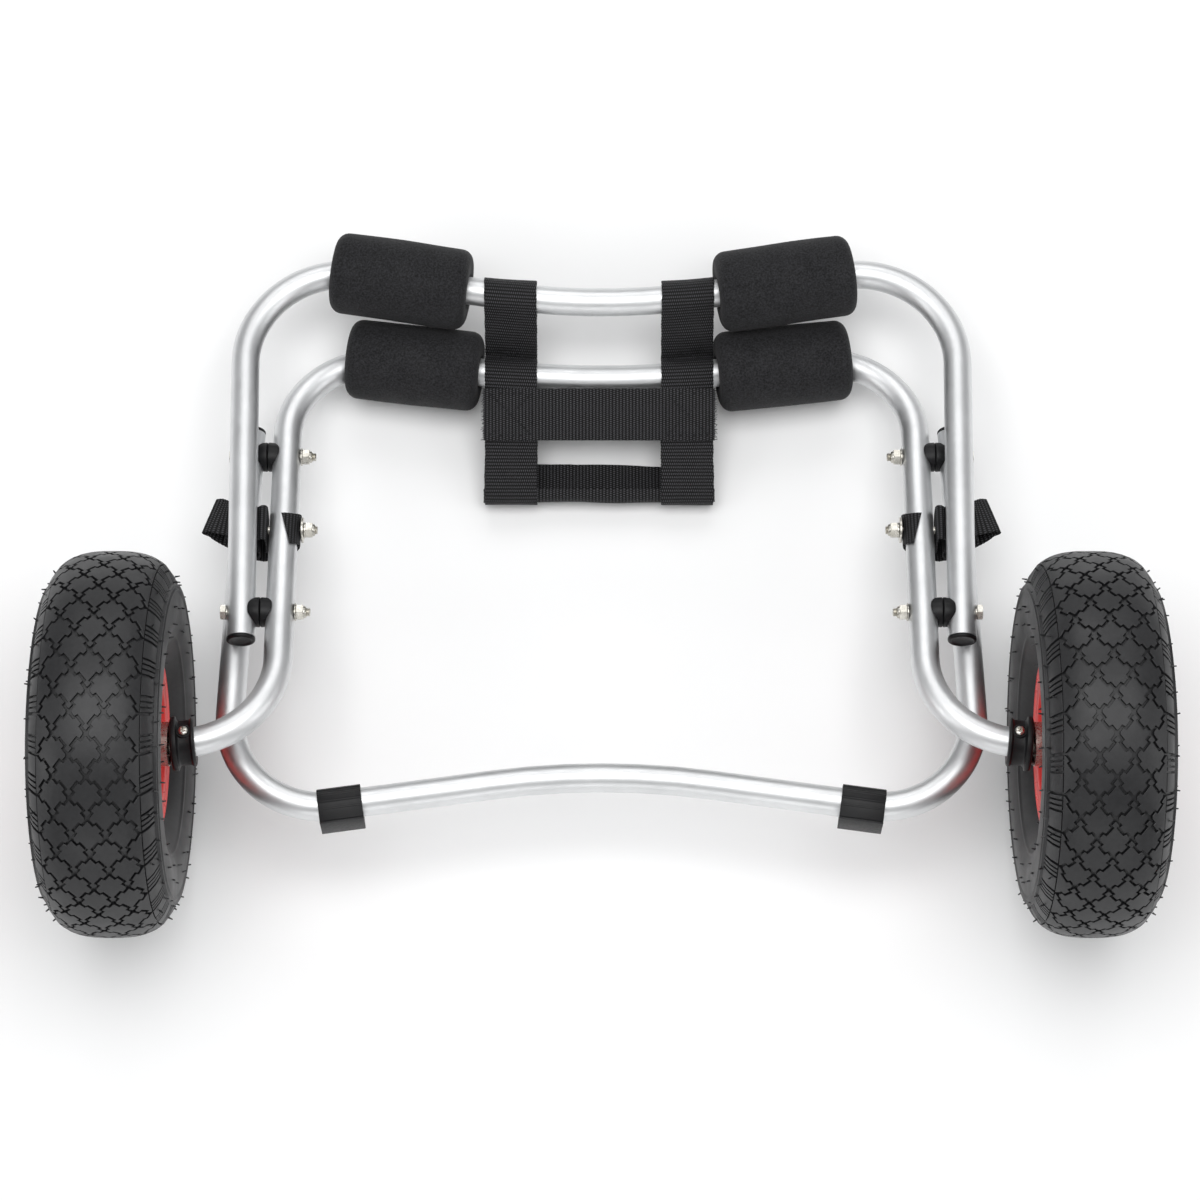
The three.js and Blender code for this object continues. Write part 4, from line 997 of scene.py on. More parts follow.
def section_at(arc):
    """Place and outward direction on the tyre's section, at a length from the crown's middle."""
    reach = np.abs(arc)
    sign = np.sign(arc) + (arc == 0)
    ahead = 0.4 * MM

    def place(length, axis):
        return np.interp(length, half_lengths, half_section[:, axis])

    def slope(axis):
        return place(reach + ahead, axis) - place(np.maximum(reach - ahead, 0), axis)

    size = np.hypot(slope(0), slope(1))
    return place(reach, 0) * sign, place(reach, 1), -slope(1) / size * sign, slope(0) / size


def point_off_section(arc, height):
    """One point (across, radius) at a height over the section."""
    across, radius, out_across, out_radius = section_at(np.array([arc]))
    return float(across[0] + out_across[0] * height), float(radius[0] + out_radius[0] * height)


def roll_onto_tyre(piece):
    """Takes a flat piece, X across the tread, Y round it and Z its height, and wraps it on the tyre."""
    count = len(piece.data.vertices)
    places = np.empty(count * 3)
    piece.data.vertices.foreach_get("co", places)
    arc, round_it, height = places.reshape(-1, 3).T
    across, radius, out_across, out_radius = section_at(arc)
    angle = round_it / tyre_radius
    wide = across + out_across * height
    far = radius + out_radius * height
    rolled = np.stack([wide, far * np.cos(angle), far * np.sin(angle)], axis=1)
    piece.data.vertices.foreach_set("co", rolled.ravel())
    piece.data.update()
    return piece


print("tread edge at radius", round(point_off_section(tread_edge, 0)[1] / MM, 1), "mm")

# %% [markdown]
# A real tread is cut into the mould, so all its pitches are alike. Its blocks could be cut out of a solid
# ring, but flat outlines with an inset for the chamfer and an extruded wall need far fewer faces.

# %% Tread blocks
pitch = math.tau * tyre_radius / tread_pitches
diamond_half = 11.2 * MM
half_pitch = pitch / 2
print("tread pitch", round(pitch / MM, 2), "mm")


def notched_edge(start, end, tab):
    """One side of a diamond from corner to corner, stepped: a tab or a notch in its middle third."""
    start, end = Vector(start), Vector(end)
    along = (end - start).normalized()
    inward = Vector((-along.y, along.x))
    length = (end - start).length
    groove, bite = 0.88 * MM, 2.4 * MM
    root, tip = (0.335, 0.35) if tab > 0 else (0.28, 0.29)
    middle = groove - tab * bite
    marks = [(0.1, groove), (root, groove), (tip, middle)]
    marks += [(1 - place, depth) for place, depth in reversed(marks)]
    return [start + along * length * place + inward * depth for place, depth in marks]


def diamond(centre_across, centre_round):
    """A diamond counterclockwise from its outer corner. Tabs and notches on opposite sides match."""
    across, round_it = Vector((diamond_half, 0)), Vector((0, half_pitch))
    centre = Vector((centre_across, centre_round))
    corners = [centre + across, centre + round_it, centre - across, centre - round_it]
    tabs = [1, 1, -1, -1]
    outline = []
    for place in range(4):
        outline += notched_edge(corners[place], corners[(place + 1) % 4], tabs[place])
    return outline


def shoulder(sign):
    """The half diamond by the shoulder, whose outer side runs straight."""
    inner, outer = 2 * diamond_half, 3.12 * diamond_half
    side_place = 3 * diamond_half
    if sign > 0:
        upper = notched_edge((side_place, half_pitch), (inner, 0), 1)
        lower = notched_edge((inner, 0), (side_place, -half_pitch), -1)
        rim = [Vector((outer, -half_pitch + 0.6 * MM)), Vector((outer, half_pitch - 0.6 * MM))]
        return upper + lower + rim
    upper = notched_edge((-side_place, -half_pitch), (-inner, 0), -1)
    lower = notched_edge((-inner, 0), (-side_place, half_pitch), 1)
    rim = [Vector((-outer, half_pitch - 0.6 * MM)), Vector((-outer, -half_pitch + 0.6 * MM))]
    return upper + lower + rim


def shoulder_bars(sign):
    """Outside the quilt: three slanted bars and one plain block in each pitch."""
    inner, outer = 3.2 * diamond_half, tread_edge
    lean = 2.2 * MM
    shapes = []
    starts = [(-13.2 * MM, 2.7 * MM), (-9.2 * MM, 2.7 * MM), (-5.2 * MM, 2.7 * MM), (-0.8 * MM, 13.6 * MM)]
    for start, width in starts:
        end = start + width
        corners = [(inner, start), (outer, start + lean), (outer, end + lean), (inner, end)]
        if sign < 0:
            corners = [(-across, round_it) for across, round_it in reversed(corners)]
        shapes.append([Vector(corner) for corner in corners])
    return shapes


def tread_strip():
    """One pitch of tread laid flat, its blocks raised to full height with chamfered tops."""
    shapes = [diamond(-diamond_half, 0), diamond(diamond_half, 0)]
    shapes += [diamond(place * 2 * diamond_half, half_pitch) for place in (-1, 0, 1)]
    shapes += [shoulder(1), shoulder(-1), *shoulder_bars(1), *shoulder_bars(-1)]
    bars = {len(shapes) - 1 - place for place in range(8)}
    mesh = bpy.data.meshes.new("tread_strip")
    build = bmesh.new()
    for place, shape in enumerate(shapes):
        level = -0.35 * MM if place in bars else 0
        build.faces.new([build.verts.new((point.x, point.y, level)) for point in shape])
    build.to_mesh(mesh)
    build.free()
    strip = bpy.data.objects.new("tread_strip", mesh)
    bpy.context.collection.objects.link(strip)

    def raise_blocks():
        bpy.ops.mesh.inset(thickness=0.2 * MM, depth=0, use_individual=True)

    in_edit_mode(strip, raise_blocks)
    tops = [face for face in strip.data.polygons if len(face.vertices) > 4 or face.area > 15 * MM * MM]
    top_verts = {vertex for face in tops for vertex in face.vertices}
    for vertex in strip.data.vertices:
        if vertex.index not in top_verts:
            vertex.co.z -= 0.2 * MM

    def walls():
        bpy.ops.mesh.select_all(action="DESELECT")
        bpy.ops.mesh.select_non_manifold()
        drop = (0, 0, -groove_depth - 0.4 * MM)
        bpy.ops.mesh.extrude_region_move(TRANSFORM_OT_translate={"value": drop})
        bpy.ops.mesh.select_all(action="SELECT")

    in_edit_mode(strip, walls)

    def cuts():
        for place in range(-9, 10):
            bpy.ops.mesh.select_all(action="SELECT")
            across = place * tread_edge / 9.5
            bpy.ops.mesh.bisect(plane_co=(across, 0, 0), plane_no=(1, 0, 0))
        for place in range(-3, 7):
            bpy.ops.mesh.select_all(action="SELECT")
            bpy.ops.mesh.bisect(plane_co=(0, place * pitch / 4.1, 0), plane_no=(0, 1, 0))

    return in_edit_mode(strip, cuts)


def tread_ring(name):
    ring = tread_strip()
    ring.name = name
    repeat = ring.modifiers.new("Round the tyre", "ARRAY")
    repeat.count = tread_pitches
    repeat.use_relative_offset = False
    repeat.use_constant_offset = True
    repeat.constant_offset_displace = (0, pitch, 0)
    apply_all(ring)
    return roll_onto_tyre(ring)


# %% [markdown]
# The carcass is one closed section spun round the axle, with the grooves' floor, ringed side walls, beads
# and a hollow inside. The mould's vents leave thin rubber hairs, which are copies of one small cone.

# %% Tyre carcass and hairs
def arc_at_radius(radius):
    """Length from the crown's middle to a radius of the side wall."""
    return float(np.interp(-radius, -half_section[:, 1], half_lengths))


def carcass(name):
    """The tyre under its tread: the grooves' floor, ringed side walls, beads and hollow inside."""
    outside = []
    rings = [arc_at_radius(radius * MM) for radius in (107, 103.6, 74)]
    low_arcs = np.linspace(0, 49 * MM, 26)
    side_arcs = np.linspace(51.4 * MM, half_lengths[-1], 76)
    for arc in np.concatenate([low_arcs, side_arcs]):
        level = -groove_depth if arc < 50 * MM else 0.0
        for ring_place, size in zip(rings, (1.2 * MM, 1.2 * MM, 0.6 * MM)):
            level += size * math.exp(-(((arc - ring_place) / (1.0 * MM)) ** 2))
        outside.append(point_off_section(arc, level))
    outside.append((bead_half_width, bead_radius + 1 * MM))
    outside.append((bead_half_width - 1 * MM, bead_radius))
    wall = 7 * MM
    inside = [(bead_half_width - wall, bead_radius), (bead_half_width - wall, neck_radius)]
    widest = arc_at_radius(neck_radius + 6 * MM)
    inside += [point_off_section(arc, -wall) for arc in np.linspace(widest, 0, 16)]
    right = outside[1:] + inside[:-1]
    whole = [outside[0], *right, inside[-1], *mirrored_outline(right)]
    return smooth(lathe(name, whole, 174), 40)


def moulding_hairs(name, seed):
    """Thin rubber hairs left by the mould's vents, one modelled and copied round the shoulders."""
    bpy.ops.mesh.primitive_cone_add(vertices=5, radius1=0.7 * MM, radius2=0.42 * MM, depth=1)
    model = bpy.context.object
    random = np.random.default_rng(seed)
    hairs = []
    rows = [(-50, 34), (50, 34), (-66, 24), (66, 24), (-41, 17), (41, 17), (-76, 16), (76, 16)]
    for arc, count in rows:
        for place in range(count):
            angle = math.tau * (place + random.uniform(-0.3, 0.3)) / count
            length = random.uniform(1.8, 3.6) * MM
            across, radius, out_across, out_radius = (
                float(value[0]) for value in section_at(np.array([(arc + random.uniform(-1.5, 1.5)) * MM]))
            )
            out = Vector((out_across, out_radius, 0)).normalized()
            out = (out + Vector(random.uniform(-0.35, 0.35, 3))).normalized()
            turn = Vector((0, 0, 1)).rotation_difference(out).to_matrix().to_4x4()
            root = Vector((across, radius, 0)) + out * length * 0.45
            place_it = Matrix.Rotation(angle, 4, "X") @ Matrix.Translation(root) @ turn
            hairs.append(copied(model, "hair", place_it @ Matrix.Diagonal((1, 1, length, 1))))
    removed(model)
    return smooth(joined(name, hairs), 60)


def tyre_piece(name, seed):
    ring = tread_ring("tread")
    select_only(ring)
    bpy.ops.object.shade_smooth_by_angle(angle=math.radians(22))
    return joined(name, [carcass("carcass"), ring, moulding_hairs("hairs", seed)])


# %% [markdown]
# Each wheel is a split rim of two pressed steel dishes painted red, held together by four bolts, on a plain
# hub sleeve with a dust seal at each end. An inner tube with a rubber valve lies in the tyre.

# %% Rims, hub, valve and axle
rim_sheet = 2
hub_radius = 15 * MM
hub_half = 37.7 * MM


def rim_half(name, valve_hole=False):
    """One pressed dish on the outer side: web, round shoulder, well wall, bead seat and rolled lip."""
    seat, hub_hole = 50.8, 15.3
    outer = in_mm((0.15, hub_hole), (0.15, 36), (1.2, 40), (3.2, 44), (4.4, 48), (6.5, seat), (24.5, seat))
    outer += in_mm((26.3, 53), (26.8, 58), (27.8, 60), (29.4, 60), (30.2, 58.8))
    inner = in_mm((29.6, 58.2), (28.8, 56.5), (28.2, 51.5), (25.5, seat - rim_sheet), (8, seat - rim_sheet))
    inner += in_mm((6.6, 47), (5.4, 43), (3.4, 39), (2.2, 35.5), (2.2, hub_hole))
    dish = soften(lathe(name, outer + inner, 96), 0.5 * MM, 2, 14)
    if valve_hole:
        hole = moved(rod(3.7 * MM, 45 * MM, 55 * MM), turned(90, "Z"))
        boolean(dish, moved(hole, shifted(15 * MM)))
    return smooth(dish, 50)


def hub_piece(name):
    back_and_radius = [(7, 15), (6.5, 14.4), (6, 15), (0.6, 15), (0, 14.3), (0, 12.8)]
    back_and_radius += [(1.2, 12.4), (1.2, 8.4), (0.2, 7.8), (0.2, 5.3)]
    half = [(hub_half - back * MM, radius * MM) for back, radius in back_and_radius]
    return smooth(lathe(name, [(0, hub_radius)] + half + mirrored_outline(half), 64), 30)


def valve_piece(name):
    """The inner tube's skin and its valve stem with a cap, which points at the hub on the outer side."""
    widest = arc_at_radius(neck_radius + 8 * MM)
    skin = [point_off_section(arc, -7.6 * MM) for arc in np.linspace(widest, -widest, 41)]
    floor = [(-12 * MM, bead_radius + 0.6 * MM), (12 * MM, bead_radius + 0.6 * MM)]
    body = lathe("tube_body", skin + floor, 64)
    stem_outline = in_mm((0, 0), (0, 5.6), (0.5, 5.6), (0.9, 3.4), (13, 3.2), (13.2, 2.6))
    stem_outline += in_mm((14.2, 2.6), (14.4, 3.5), (20.5, 3.3), (21.6, 2.6), (21.8, 0))
    stem = lathe("stem", stem_outline, 32)
    inward = turned(-90, "Z")
    moved(stem, shifted(15 * MM, bead_radius + 0.5 * MM, 0) @ inward)
    return smooth(joined(name, [body, stem]), 40)


def rim_bolts(name):
    """Four hex heads on the outer dish and their nuts on the inner one."""
    bolt_circle = 27 * MM
    pieces = []
    for place in range(4):
        shift = turned(90 * place + 20, "X") @ shifted(0, bolt_circle)
        head = moved(hex_prism(10 * MM, 2.3 * MM, 6.3 * MM), shift)
        ring = lathe("ring", in_mm((2.2, 3), (2.2, 6), (3, 6), (3, 3)), 32)
        nut = moved(hex_prism(10 * MM, -7.2 * MM, -2.3 * MM), shift)
        end = moved(threaded_end(-2.3 * MM, -9.3 * MM), shift)
        pieces += [head, moved(ring, shift), nut, end]
    return smooth(joined(name, pieces), 35)


def axle_piece(name):
    head_face = wheel_spread + hub_half + seat_gap
    head = hex_prism(17 * MM, head_face, head_face + 6.5 * MM, 1.6 * MM)
    shank = rod(5 * MM, collar_mouth + 2 * MM, head_face + 1 * MM, 48)
    return smooth(joined(name, [head, shank]), 35)


wheel_parts = [
    ("tyre", lambda name: tyre_piece(name, 3), "rubber"),
    ("inner_tube", valve_piece, "tube"),
    ("rim_outer_half", lambda name: rim_half(name, True), "red"),
    ("rim_inner_half", lambda name: moved(rim_half(name), turned(180, "Y")), "red"),
    ("hub_sleeve", hub_piece, "zinc"),
    ("rim_bolts", rim_bolts, "zinc"),
]
for kind, build_piece, look_name in wheel_parts:
    model = build_piece(f"{kind}_model")
    for side, sign in sides.items():
        turn = turned(180 if sign < 0 else 0, "Y")
        place = shifted(sign * wheel_spread, axle.y, axle.z) @ turn
        twin = copied(model, f"{kind}_{side}_dressed", place)
        replaced = [] if kind == "rim_bolts" else [f"{kind}_{side}"]
        dress(twin, look_name, f"{side}_wheel", replaced)
    removed(model)
for side in sides:
    axle_bolt = moved(axle_piece(f"axle_bolt_{side}_steel"), across_place(side, 0))
    dress(axle_bolt, "zinc", "wheel_frame", [f"axle_bolt_{side}"])

# %% [markdown]
# The webbing is flat woven strap. Each piece follows a belt line, the path a strap takes when it runs
# tangent to a row of rounds, and is a fine grid laid on that line with its yarns along its length.

# %% Belts and ribbons
layer_pitch = 1.8 * MM
strap_thickness = 1.3 * MM


def belt(rounds, step=math.radians(5)):
    """A belt over rounds (first, second, radius, turn), counterclockwise where the turn is 1."""
    lines = []
    for near, far in zip(rounds, rounds[1:]):
        span = Vector(far[:2]) - Vector(near[:2])
        tilt = math.asin((far[3] * far[2] - near[3] * near[2]) / span.length)
        angle = math.atan2(span.y, span.x) - tilt
        left = Vector((-math.sin(angle), math.cos(angle)))
        leave = Vector(near[:2]) - left * near[3] * near[2]
        meet = Vector(far[:2]) - left * far[3] * far[2]
        lines.append((angle, leave, meet))
    points = [lines[0][1]]
    for before, after, (first, second, radius, turn) in zip(lines, lines[1:], rounds[1:]):
        swept = (turn * (after[0] - before[0])) % math.tau
        count = max(1, math.ceil(swept / step))
        for place in range(count + 1):
            angle = before[0] + turn * swept * place / count
            left = Vector((-math.sin(angle), math.cos(angle)))
            points.append(Vector((first, second)) - left * turn * radius)
    points.append(lines[-1][2])
    return points, lines


def ribbon(
    name,
    points,
    width,
    lay,
    seed,
    wave=0.2 * MM,
    columns=14,
    lengthwise=True,
    ragged=0,
    cut=(0, 0),
    step=1 * MM,
):
    """A strap along a line. The function lay turns places (along, out, across) to places in a frame.

    The start can be ragged, or cut on a slant that takes a length off at its low and its high edge.
    """
    line = np.array([tuple(point) for point in points])
    lengths = np.concatenate([[0], np.cumsum(np.linalg.norm(np.diff(line, axis=0), axis=1))])
    tangents = np.gradient(line, lengths + np.arange(len(lengths)) * 1e-9, axis=0)
    tangents /= np.linalg.norm(tangents, axis=1)[:, None]
    rows = max(4, round(lengths[-1] / step))
    bpy.ops.mesh.primitive_grid_add(x_subdivisions=columns, y_subdivisions=rows, size=1)
    piece = bpy.context.object
    piece.name = name
    count = len(piece.data.vertices)
    places = np.empty(count * 3)
    piece.data.vertices.foreach_get("co", places)
    share_across, share_along = places.reshape(-1, 3)[:, 0] + 0.5, places.reshape(-1, 3)[:, 1] + 0.5
    skipped = cut[0] + (cut[1] - cut[0]) * share_across
    along, across = skipped + share_along * (lengths[-1] - skipped), (share_across - 0.5) * width
    phase = np.random.default_rng(seed).uniform(0, math.tau, 8)
    lift = np.sin(along * 90 + across * 70 + phase[0]) + 0.7 * np.sin(along * 170 - across * 130 + phase[1])
    lift += 0.5 * np.sin(along * 310 + across * 50 + phase[2])
    edge = np.abs(share_across - 0.5) > 0.49
    jitter = 0.16 * MM * np.sin(along * 3700 + phase[3]) + 0.12 * MM * np.sin(along * 520 + phase[4])
    wide = across + np.where(edge, jitter * np.sign(across), 0)
    sway = np.sin(across * 42 + phase[5]) + 0.3 * np.sin(across * 110 + phase[6])
    free = ragged * (1 - share_along) ** 2 * sway
    stop = np.clip(along + free, 0, lengths[-1])
    first, second = (np.interp(stop, lengths, line[:, axis]) for axis in (0, 1))
    run_first, run_second = (np.interp(stop, lengths, tangents[:, axis]) for axis in (0, 1))
    size = np.hypot(run_first, run_second)
    first = first - run_second / size * lift * wave
    second = second + run_first / size * lift * wave
    piece.data.vertices.foreach_set("co", np.stack(lay(first, second, wide), axis=1).ravel())
    corners = np.empty(len(piece.data.loops), dtype=np.int32)
    piece.data.loops.foreach_get("vertex_index", corners)
    run, side = (along, across) if lengthwise else (across, along)
    flat = np.stack([run[corners], side[corners]], axis=1)
    piece.data.uv_layers.active.data.foreach_set("uv", flat.ravel())
    piece.data.update()
    shell = piece.modifiers.new("Thickness", "SOLIDIFY")
    shell.thickness = strap_thickness
    shell.offset = 0
    return smooth(soften(apply_all(piece), 0.32 * MM, 2, 60), 45)


# %% [markdown]
# Webbing is sewn with a box and a cross in it. Each stitch is a copy of one small lozenge of thread, laid on
# the strap. A cut end frays a little, so a row of short thin cones stands along it.

# %% Stitches and frayed ends
def placed_threads(name, model, matrices):
    threads = joined(name, [copied(model, "thread", matrix) for matrix in matrices])
    removed(model)
    return smooth(threads, 60)


def thread_model():
    """One stitch, a small lozenge of thread along X."""
    bpy.ops.mesh.primitive_uv_sphere_add(segments=6, ring_count=4, radius=1)
    return moved(bpy.context.object, Matrix.Diagonal((1.25 * MM, 0.34 * MM, 0.3 * MM, 1)))


def stitch_box(name, centre, across, along, width, height):
    """A sewn rectangle with a cross in it, on a flat place given by its middle and two directions."""
    across, along = across.normalized(), along.normalized()
    out = across.cross(along)
    low, high = Vector((-width / 2, -height / 2)), Vector((width / 2, height / 2))
    corners = [low, Vector((high.x, low.y)), high, Vector((low.x, high.y))]
    seams = [(corners[place], corners[(place + 1) % 4]) for place in range(4)]
    seams += [(corners[0], corners[2]), (corners[1], corners[3])]
    matrices = []
    for start, end in seams:
        run = end - start
        count = max(3, round(run.length / (3.1 * MM)))
        direction = (across * run.x + along * run.y).normalized()
        turn = Matrix((direction, out.cross(direction), out)).transposed().to_4x4()
        for place in range(count):
            spot = start + run * (place + 0.5) / count
            matrices.append(Matrix.Translation(centre + across * spot.x + along * spot.y) @ turn)
    return placed_threads(name, thread_model(), matrices)


def frayed_end(name, start, end, outward, seed, count=46):
    """Short ends of yarn along a cut."""
    bpy.ops.mesh.primitive_cone_add(vertices=5, radius1=0.2 * MM, radius2=0.12 * MM, depth=1)
    random = np.random.default_rng(seed)
    matrices = []
    for place in range(count):
        spot = start.lerp(end, (place + random.uniform(0.1, 0.9)) / count)
        length = random.uniform(0.9, 2.6) * MM
        aim = (outward.normalized() + Vector(random.uniform(-0.5, 0.5, 3))).normalized()
        turn = Vector((0, 0, 1)).rotation_difference(aim).to_matrix().to_4x4()
        root = spot + outward.normalized() * length * 0.3 + Vector(random.uniform(-0.3, 0.3, 3)) * MM
        matrices.append(Matrix.Translation(root) @ turn @ Matrix.Diagonal((1, 1, length, 1)))
    return placed_threads(name, bpy.context.object, matrices)


# %% [markdown]
# The sling is two straps and two bands. Each strap runs from a loop on the cradle's bar behind the wheel
# frame's bar, folds by the floor and comes up in front to a loop on that bar. The part between the two bars
# bends with the cradle, so it is a piece of its own.

# %% Sling straps
sling_width = 37.4 * MM
sling_spread = 63.5 * MM
sling_offset = -1.7 * MM
cradle_bar_at = cradle_bar.height(sling_spread)
wheel_bar_at = wheel_bar.height(sling_spread)
loop_radius = tube_radius + 2.1 * MM
loop_tail = 50 * MM
folded_run = Vector((math.cos(fold_angle), math.sin(fold_angle)))
cradle_bar_spot = folded_run * cradle_bar_at + Vector((lower_reach, 0))
behind_bar = Vector((wheel_bar_at, -loop_radius - layer_pitch))
tail_run = (behind_bar - cradle_bar_spot).normalized()
fold_spot = (wheel_bar_at - 71.6 * MM, -45.6 * MM)
fold_radius = 8 * MM
tail_start = cradle_bar_spot + tail_run * (loop_tail - 18 * MM)
tuck_reach = wheel_bar_at - 30 * MM

front_run = belt([(*fold_spot, fold_radius, -1), (wheel_bar_at, 0, loop_radius, -1)])[1][0]
tuck_out = front_run[2].y + (tuck_reach - front_run[2].x) * math.tan(front_run[0])
tuck_out -= (layer_pitch + 0.3 * MM) / math.cos(front_run[0])
strap_rounds = [
    (*tail_start, 0, 1),
    (wheel_bar_at, 0, loop_radius + layer_pitch, -1),
    (wheel_bar_at - 30 * MM, -8.4 * MM, 30 * MM, -1),
    (*fold_spot, fold_radius, -1),
    (wheel_bar_at, 0, loop_radius, -1),
    (tuck_reach, tuck_out, 0, 1),
]
strap_line, strap_runs = belt(strap_rounds)
strap_length = sum((after - before).length for before, after in zip(strap_line, strap_line[1:]))
print("sling strap", round(strap_length / MM), "mm from bar to tuck")


def slope_under(bar, x, middle):
    """Half of how much higher a bar lies at places across than at the strap's middle."""
    return 0.5 * (np.array([bar.height(place) for place in np.asarray(x).ravel()]) - bar.height(middle))


def sling_lay(x):
    """Near the bar a strap follows the bar's slope; farther down it hangs straight."""

    def lay(along, out, across):
        near = np.clip(1 - (wheel_bar_at - 14 * MM - along) / (50 * MM), 0, 1)
        rise_here = slope_under(wheel_bar, x + across, x) * near * near * (3 - 2 * near)
        return x + across, along + rise_here, out

    return lay


def loop_lay(x):
    def lay(along, out, across):
        return x + across, along + slope_under(cradle_bar, x + across, x), out

    return lay


bridge_line = [strap_line[0], strap_runs[0][2]]
pocket_line = strap_line[1:]
local_run = Matrix.Rotation(-fold_angle, 2) @ tail_run
local_side = Vector((-local_run.y, local_run.x))
local_end = Vector((cradle_bar_at, 0)) + local_run * loop_tail
loop_ends = [local_end + local_side * 1.4 * MM, local_end - local_side * 1.4 * MM]
loop_line = belt([(*loop_ends[0], 0, 1), (cradle_bar_at, 0, loop_radius, -1), (*loop_ends[1], 0, 1)])[0]
for side, sign in sides.items():
    x = sign * sling_spread + sling_offset
    pocket = ribbon(f"sling_strap_{side}_web", pocket_line, sling_width, sling_lay(x), 20 + sign)
    dress(moved(pocket, wheel_plane), "webbing", "wheel_frame", [f"sling_strap_{side}"])
    bridge_name, bridge_width = f"sling_bridge_{side}_web", sling_width - 0.6 * MM
    bridge = ribbon(bridge_name, bridge_line, bridge_width, sling_lay(x), 30 + sign, 0, step=0.3 * MM)
    dress(moved(bridge, wheel_plane), "webbing")
    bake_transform(bridge)
    loop = ribbon(f"sling_cradle_loop_{side}_web", loop_line, sling_width, loop_lay(x), 40 + sign)
    dress(moved(loop, cradle_plane), "webbing", "cradle_frame", [f"sling_cradle_loop_{side}"])
    seam_run = Vector((0, *local_run))
    seam_out = Vector((0, *(-local_side)))
    if seam_out.z < 0:
        seam_out = -seam_out
    seam_spot = Vector((cradle_bar_at, 0)) + local_run * (loop_tail - 7 * MM)
    seam_middle = Vector((x, *seam_spot)) + seam_out * 2.4 * MM
    across = seam_run.cross(seam_out)
    seam = stitch_box(f"sling_loop_seam_{side}_thread", seam_middle, across, seam_run, 31 * MM, 8 * MM)
    dress(moved(seam, cradle_plane), "thread", "cradle_frame")

# %% [markdown]
# Two cross bands hold the sling's straps apart. The front one is sewn on both straps, and the rear one lies
# in their lower fold. Their yarns run across the cart, so the ribbon's pattern is turned a quarter.

# %% Sling bands
band_length = 2 * (sling_spread + 1 * MM) + sling_width
front_angle, _, front_meet = strap_runs[3]
front_along = Vector((math.cos(front_angle), math.sin(front_angle)))
front_out = Vector((-front_along.y, front_along.x))
band_top = front_meet - front_along * 9.5 * MM + front_out * layer_pitch
band_low = band_top - front_along * sling_width


def band_lay(along, out, across):
    return sling_offset + across, along, out


band_line = [band_low, band_low.lerp(band_top, 0.5), band_top]
front_band = ribbon("sling_front_band_web", band_line, band_length, band_lay, 51, 0.25 * MM, 90, False)
dress(moved(front_band, wheel_plane), "webbing", "wheel_frame", ["sling_front_band"])
band_middle = band_line[1] + front_out * 0.75 * MM
band_along = Vector((0, *front_along))
for side, sign in sides.items():
    x = sign * sling_spread + sling_offset
    across = Vector((1, 0, 0))
    middle = Vector((x, *band_middle))
    seam = stitch_box(f"sling_band_seam_{side}_thread", middle, across, band_along, 30 * MM, 30 * MM)
    dress(moved(seam, wheel_plane), "thread", "wheel_frame")
    band_end = sling_offset + sign * band_length / 2
    low, top = (Vector((band_end, *spot)) for spot in (band_low, band_top))
    fray = frayed_end(f"sling_band_end_{side}_thread", low, top, across * sign, 60 + sign)
    dress(moved(fray, wheel_plane), "thread", "wheel_frame")


def inside_run(run, point, distance):
    angle = run[0]
    along = Vector((math.cos(angle), math.sin(angle)))
    return point + along * distance - Vector((-along.y, along.x)) * layer_pitch


rear_start = inside_run(strap_runs[2], strap_runs[2][2], -23 * MM)
rear_lip = inside_run(strap_runs[3], strap_runs[3][1], 3 * MM)
rear_line = belt([(*rear_start, 0, 1), (*fold_spot, fold_radius - layer_pitch, -1), (*rear_lip, 0, 1)])[0]
rear_ragged = 1.3 * MM
rear_name = "sling_rear_band_web"
rear_band = ribbon(rear_name, rear_line, band_length, band_lay, 52, 0.3 * MM, 90, False, rear_ragged)
dress(moved(rear_band, wheel_plane), "webbing", "wheel_frame", ["sling_rear_band"])

# %% [markdown]
# A check strap on each side ties the wheel frame's leg to the stand's, so that the stand can't swing too
# far. It is wrapped round both legs and held by one bolt, and it bends with the stand.

# %% Check straps
check_width = 25 * MM
slanted_cut = (11.5 * MM, 4 * MM)
check_lean = math.tan(fold_angle)
stand_leg_x = spread_at(stand_spread, stand_lean, upper_reach - strap_reach)
stand_leg_z = -(upper_reach - strap_reach) * check_lean
cradle_leg_x = spread_at(cradle_spread, cradle_lean, strap_reach - lower_reach)
cradle_leg_z = (strap_reach - lower_reach) * check_lean
loose_radius = wrap_radius + 0.3 * MM
end_x = strap_leg + wrap_radius
check_rounds = [
    (strap_leg + 5 * MM, wrap_radius + 0.3 * MM, 0, 1),
    (strap_leg, 0, wrap_radius, 1),
    (stand_leg_x, stand_leg_z, loose_radius, 1),
    (stand_leg_x + loose_radius + 11 * MM, stand_leg_z + 6 * MM, 1.4 * MM, 1),
    (stand_leg_x, stand_leg_z, loose_radius, 1),
    (cradle_leg_x, cradle_leg_z, wrap_radius, -1),
    (end_x + 2.2 * MM, 8 * MM, 2.2 * MM, 1),
    (end_x, -8 * MM, 0, 1),
]
check_line = belt(check_rounds)[0]


def check_lay(first, second, across):
    lean = np.where(first > strap_leg + 5 * MM, across * check_lean, 0)
    slack = np.clip((first - stand_leg_x - 8 * MM) / (10 * MM), 0, 1)
    climb = 0.45 * np.clip(first - stand_leg_x + 14 * MM, 0, 34 * MM)
    droop = 0.5 * np.where(first < strap_leg + 5.5 * MM, np.clip(second, 0, None), 0)
    return first - across * 0.35 * slack, strap_reach + across + climb - droop, second + lean


